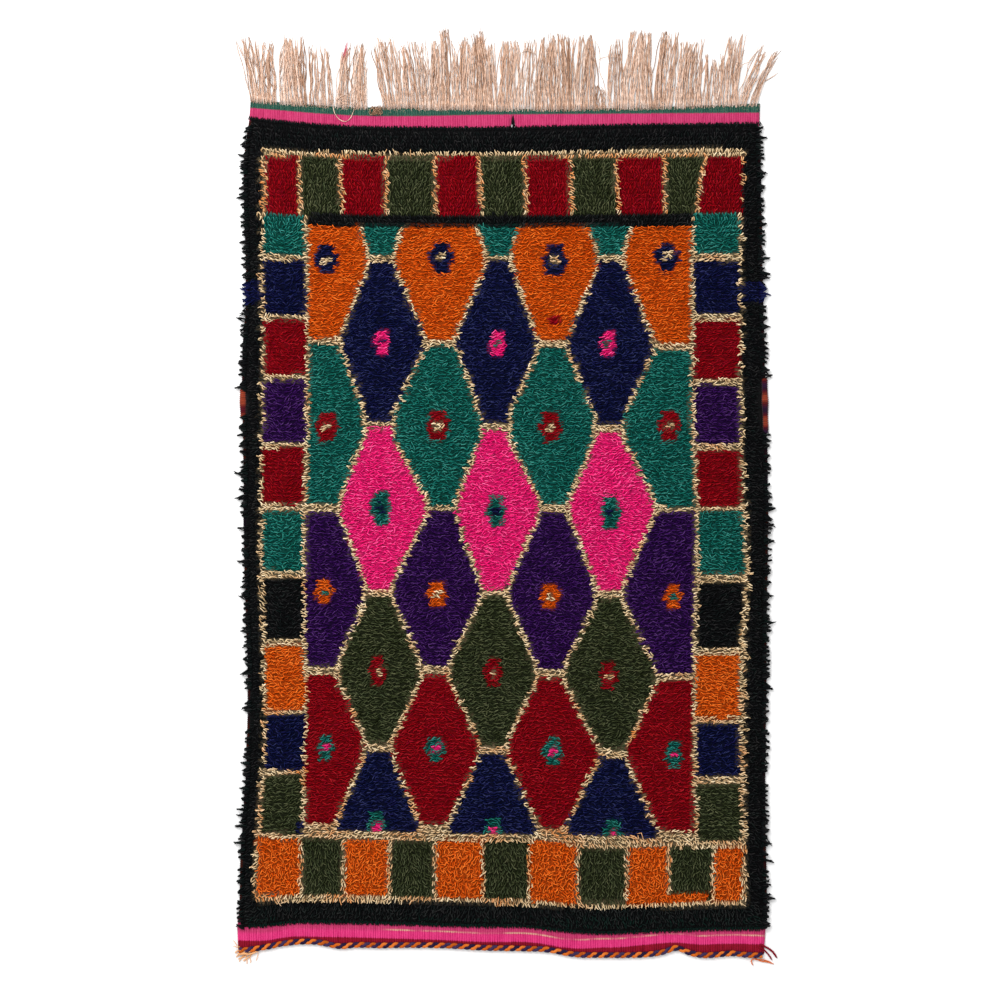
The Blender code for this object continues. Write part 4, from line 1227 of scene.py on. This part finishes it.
def chartRoute(route, steps):
    # a smooth line of even steps through the chart places of a yarn
    known = np.array(route, float)
    at = np.concatenate([[0], np.cumsum(np.hypot(*np.diff(known, axis=0).T))])
    even = np.linspace(0, at[-1], steps)
    across, down = (alongTable(np.stack([at, places], axis=1), even) for places in known.T)
    return offChart(across, down)


def fringeStrand(t, rootX, rootY, tipX, tipY):
    # one warp from the cloth to its tip: it bends, waves near its root, and may hook at its tip
    bend, wave = rng.normal(0, fringe["bend"]), rng.normal(0, fringe["wave"])
    cycles, phase = rng.uniform(1.0, 2.6), rng.uniform(0, 6.28)
    x = rootX + (tipX - rootX) * (0.45 * t + 0.55 * t * t) + bend * np.sin(math.pi * t)
    x = x + wave * np.sin(math.pi * np.clip(t * 1.6, 0, 0.5)) * np.sin(2 * math.pi * cycles * t + phase)
    hook = rng.normal(0, fringe["hook"]) if rng.random() < fringe["hookShare"] else 0.0
    x = x + hook * np.clip(t - fringe["hookFrom"], 0, 1) / (1 - fringe["hookFrom"])
    y = rootY + (tipY - rootY) * t
    onFloor = fringe["tipHeight"] + rng.uniform(0, fringe["arch"]) * np.sin(math.pi * np.clip(t * 1.05, 0, 1))
    z = fringe["rootHeight"] + (onFloor - fringe["rootHeight"]) * ease(0.0, rng.uniform(0.35, 0.75), t)
    return np.stack([x, y, z], axis=1)


def buildFringe():
    steps = fringe["steps"]
    t = np.linspace(0, 1, steps)
    strands = []  # path, half width, tone, tint and stain of each
    pinkLeft, pinkRight, pinkBelow = fringe["pinkTips"]
    for start, stop, tipStart, tipStop, tipTop, tipBottom, warps in fringe["bunches"]:
        count = round(warps * fringe["fullness"])
        tufts = max(1, round(max(stop - start, tipStop - tipStart) / fringe["tuftWidth"]))
        tuftShare = (np.arange(tufts) + 0.5 + rng.uniform(-0.3, 0.3, tufts)) / tufts
        tuftAcross = tipStart + (tipStop - tipStart) * tuftShare
        tuftDown = rng.uniform(tipTop, tipBottom, tufts)
        tuftDown[rng.integers(tufts)] = tipTop
        tuftTone = rng.uniform(0.36, 0.60, tufts)
        for i in range(count):
            share = np.clip((i + 0.5 + rng.uniform(-0.7, 0.7)) / count, 0, 1)
            tuft = int(np.clip(share * tufts + rng.normal(0, 0.4), 0, tufts - 1))
            rootX, _ = offChart(start + (stop - start) * share, 0)
            tipAcross = tuftAcross[tuft] + rng.normal(0, 1.7)
            tipX, tipY = offChart(tipAcross, tuftDown[tuft] + abs(rng.normal(0, 4.0)))
            rootY = float(endLine("fringedCloth", rootX)) - fringe["rootOnCloth"] * rng.uniform(0.1, 1.0)
            if rng.random() < fringe["shortShare"]:
                tipY -= rng.uniform(0.1, 0.4) * (tipY - rootY)
            path = fringeStrand(t, rootX, rootY, tipX, tipY)
            half = fringe["halfWidth"] * rng.uniform(*fringe["widthRange"])
            stained = within(tipAcross, pinkLeft, pinkRight) and onChart(tipX, tipY)[1] < pinkBelow
            tone, tint = rng.normal(tuftTone[tuft], 0.20), max(0.0, rng.normal(0.0, 0.15))
            strands.append((path, half, tone, tint, 0.85 if stained else 0.0))
    lone = fringe["lone"]
    for i, route in enumerate(fringe["singles"] + fringe["wraps"]):
        z = np.full(steps, lone["height"] - 0.0001 * (i % 3))
        path = np.stack([*chartRoute(route, steps), z], axis=1)
        strands.append((path, lone["half"], lone["tone"], 0.2 if i else 0.0, 0.0))
    snarl = fringe["snarl"]
    middleX, middleY = offChart(*snarl["middle"])
    for i in range(snarl["strands"]):
        angle = t * rng.uniform(2.0, 5.0) + rng.uniform(0, 6.28)
        x = middleX + snarl["across"] * rng.uniform(0.3, 1.0) * np.cos(angle) + rng.normal(0, 0.0015)
        y = middleY + snarl["along"] * rng.uniform(0.3, 1.0) * np.sin(angle * 1.3 + i) + rng.normal(0, 0.001)
        z = snarl["height"] + 0.0008 * np.sin(angle * 2) + 0.00025 * i
        tone, tint = rng.normal(0.35, 0.2), rng.uniform(0.2, 0.95)
        strands.append((np.stack([x, y, z], axis=1), snarl["half"], tone, tint, 0.0))
    paths, halves, tones, tints, stains = (np.array(values) for values in zip(*strands))
    count = len(paths)
    halves = halves[:, None] * np.concatenate([[0.7], np.ones(steps - 3), [0.85, 0.4]])
    turned = np.linspace(0, 7, steps) + rng.uniform(0, 6.28, count)[:, None]
    piece = yarns("warpFringe", paths, halves, halves * 0.9, 3, turned=turned)
    # the warps are palest where they leave the cloth, and some tips are dark
    tone = np.clip(tones[:, None] + 0.20 * (1 - ease(0.0, 0.10, t)) + 0.06 * (0.5 - t), 0, 1)
    darkTip = ease(0.88, 1.0, t) * (rng.random(count) < 0.3)[:, None] * 0.55
    tint = np.clip(tints[:, None] + darkTip, 0, 0.85)
    shadeRings(piece, 3, tone, 0.6, tint, 1 - stains[:, None] * ease(0.80, 0.90, t))
    print("fringe strands:", count)
    return finishPiece(piece, fringeMaterial(), "warp_yarn", "fringe")


edgeCord = {
    "turns": 45,
    "left": -0.4775,
    "right": 0.464,
    "below": 0.0044,  # its middle beyond the cloth's end
    "height": 0.0042,
    "stepsEachTurn": 12,
    "plies": [  # start of the turn, half width and colours
        {"name": "orangePly", "phase": 0.0, "half": 0.0030,
         "wools": [(116, 48, 12), (190, 92, 28), (222, 136, 70), (116, 48, 12)]},
        {"name": "navyPly", "phase": math.pi, "half": 0.0031,
         "wools": [(14, 8, 26), (44, 32, 62), (80, 64, 96), (14, 8, 26)]},
    ],
    "flatter": 0.82,
    "swing": (0.0024, 0.0013),  # of a ply's middle, to the sides and up
    "steep": 0.55,  # how much quicker a ply crosses over than it runs along
    "plyTwist": 0.8,
}


def buildEdgeCord():
    count = edgeCord["turns"] * edgeCord["stepsEachTurn"] + 1
    x = np.linspace(edgeCord["left"], edgeCord["right"], count)
    allTurns = 2 * math.pi * edgeCord["turns"] * np.linspace(0, 1, count)
    for ply in edgeCord["plies"]:
        turn = allTurns + 0.5 * np.sin(x * 31) + ply["phase"]
        turn = turn - edgeCord["steep"] / 2 * np.sin(2 * turn)
        y = endLine("cordedCloth", x) - edgeCord["below"] - edgeCord["swing"][0] * np.cos(turn)
        z = edgeCord["height"] + edgeCord["swing"][1] * np.sin(turn)
        half = (ply["half"] * (1 + 0.06 * np.sin(x * 190)))[None]
        piece = yarns(ply["name"], np.stack([x, y, z], axis=1)[None], half, half * edgeCord["flatter"], 8,
                      turned=(allTurns * edgeCord["plyTwist"])[None])
        shadeRings(piece, 8, 0.5 + 0.25 * np.sin(x * 83 + ply["phase"]), 0.55, 0.0, 1.0)
        material = yarnMaterial(ply["name"] + "Wool", ply["wools"], fibres=(0.10, 3.0))
        finishPiece(piece, material, "cord_wool")
        if ply is edgeCord["plies"][0]:
            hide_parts("edge_cord")


cornerYarns = {
    "steps": 14,
    "sides": 5,
    "rootHeight": 0.0034,
    "left": {
        "slot": "loose_orange_wool",
        "wools": [(176, 116, 74), (226, 168, 118), (250, 214, 176), (200, 120, 80)],
        "yarns": [  # chart places along the yarn, half width, tint
            ([(252, 951), (246, 952), (240, 954), (236, 957)], 0.0014, 0.0),
            ([(256, 951), (249, 954), (243, 957), (238, 959)], 0.0013, 0.0),
            ([(254, 952), (250, 956), (246, 959), (243, 961)], 0.0012, 0.0),
            ([(245, 949), (240, 950), (237, 951), (235, 953)], 0.0013, 0.0),
            ([(249, 951), (246, 956), (247, 960), (247, 964)], 0.0009, 0.0),
            ([(246, 952), (242, 957), (240, 960), (239, 962)], 0.0009, 0.0),
            ([(258, 951), (258, 955), (257, 958), (256, 961)], 0.0007, 0.0),
            ([(251, 953), (250, 958), (251, 961), (250, 963)], 0.0008, 0.0),
            ([(257, 949), (251, 951), (245, 951), (239, 950)], 0.0019, 0.0),
            ([(259, 950), (253, 953), (247, 954), (241, 952)], 0.0017, 0.0),
            ([(255, 952), (249, 950), (243, 953), (238, 955)], 0.0016, 0.0),
            ([(250, 950), (246, 953), (241, 954), (237, 953)], 0.0015, 0.0),
            ([(240, 947), (237, 945), (235, 942), (233, 940)], 0.0007, 0.0),
            ([(240, 948), (237, 947), (235, 946), (233, 946)], 0.0007, 0.0),
        ],
    },
    "right": {
        "slot": "loose_red_wool",
        "wools": [(70, 8, 18), (124, 18, 34), (160, 40, 52), (214, 112, 58)],  # dark red, tinted orange
        "yarns": [
            ([(760, 944), (766, 947), (772, 951), (777, 958)], 0.0020, 0.0),
            ([(758, 947), (764, 950), (768, 954), (772, 960)], 0.0016, 0.0),
            ([(753, 965), (751, 961), (754, 958.5), (761, 961), (768, 962), (774, 964)], 0.0012, 0.9),
            ([(755, 959.5), (762, 959.5), (768, 961), (772, 963)], 0.0010, 0.8),
        ],
    },
}


def buildCornerYarns():
    steps, sides, rootZ = cornerYarns["steps"], cornerYarns["sides"], cornerYarns["rootHeight"]
    t = np.linspace(0, 1, steps)
    for side in ("left", "right"):
        corner = cornerYarns[side]
        routes, halves, tints = zip(*corner["yarns"])
        paths = []
        for i, (route, half) in enumerate(zip(routes, halves)):
            z = rootZ + (half * 1.1 + 0.0003 * i - rootZ) * ease(0, 0.5, t)
            paths.append(np.stack([*chartRoute(route, steps), z], axis=1))
        size = np.array(halves)[:, None] * np.concatenate([[0.8], np.ones(steps - 3), [0.85, 0.4]])
        turned = np.tile(np.linspace(0, 8, steps), (len(paths), 1))
        piece = yarns(side + "CornerYarns", np.array(paths), size, size, sides, turned=turned)
        shadeRings(piece, sides, np.full(size.shape, 0.5), 0.6, np.array(tints)[:, None], 1.0)
        material = yarnMaterial(side + "CornerWool", corner["wools"], fibres=(4.0, 8.0))
        finishPiece(piece, material, corner["slot"], "corner_ends_" + side)


studio = {
    "view": 1.80,  # metres across the picture
    "viewMiddle": (-0.0081, 0.0504),
    "cameraHeight": 8.0,
    "sensor": 36.0,
    "farEnd": 50.0,
    "floorColour": (236, 236, 236),
    "floorHalf": 5.0,
    "floorDrop": 0.0003,
    "worldLight": 0.95,
    "keyPlace": (-1.6, 2.0, 3.2),
    "keySize": 2.6,
    "keyPower": 165.0,
}


def buildFloor():
    material, shader = startMaterial("paleFloor", 0.8, 0.0)
    faint = stretchedNoise(material, ownPlace(material), (1.0, 1.0, 1.0), 3.0)
    darker = paint(*(v - 3 for v in studio["floorColour"]))
    setColour(material, shader, blend(material, faint, darker, paint(*studio["floorColour"])))
    half = studio["floorHalf"]
    points = np.array([(-half, -half, 0), (half, -half, 0), (half, half, 0), (-half, half, 0)], float) - shift
    points[:, 2] = -studio["floorDrop"]
    floor = makeMesh("floor", points, [np.array([[0, 1, 2, 3]])])
    floor.data.materials.append(material)


def buildStudio():
    world = bpy.data.worlds.new("softRoom")
    bpy.context.scene.world = world
    world.use_nodes = True
    background = world.node_tree.nodes["Background"]
    background.inputs["Color"].default_value = (1.0, 1.0, 1.0, 1.0)
    background.inputs["Strength"].default_value = studio["worldLight"]
    key = bpy.data.lights.new("softKey", "AREA")
    key.energy = studio["keyPower"]
    key.size = studio["keySize"]
    lamp = bpy.data.objects.new("softKey", key)
    lamp.location = studio["keyPlace"]
    lamp.rotation_euler = (-lamp.location).to_track_quat("-Z", "Y").to_euler()
    bpy.context.scene.collection.objects.link(lamp)
    camera = bpy.data.cameras.new("aboveRug")
    camera.sensor_width = studio["sensor"]
    camera.lens = studio["sensor"] * studio["cameraHeight"] / studio["view"]
    camera.clip_end = studio["farEnd"]
    eye = bpy.data.objects.new("aboveRug", camera)
    middleX, middleY = studio["viewMiddle"]
    eye.location = (middleX + shift[0], middleY + shift[1], studio["cameraHeight"])
    bpy.context.scene.collection.objects.link(eye)
    bpy.context.scene.camera = eye
    bpy.context.scene.view_settings.view_transform = "Standard"


buildFloor()
cloth = buildWeave()
print("flat weave made")
buildBed()
buildPile()
buildRimLocks()
print("pile made")
buildSelvedges()
buildFringe()
buildEdgeCord()
buildCornerYarns()
print("fringe, cords and corner yarns made")
buildStudio()
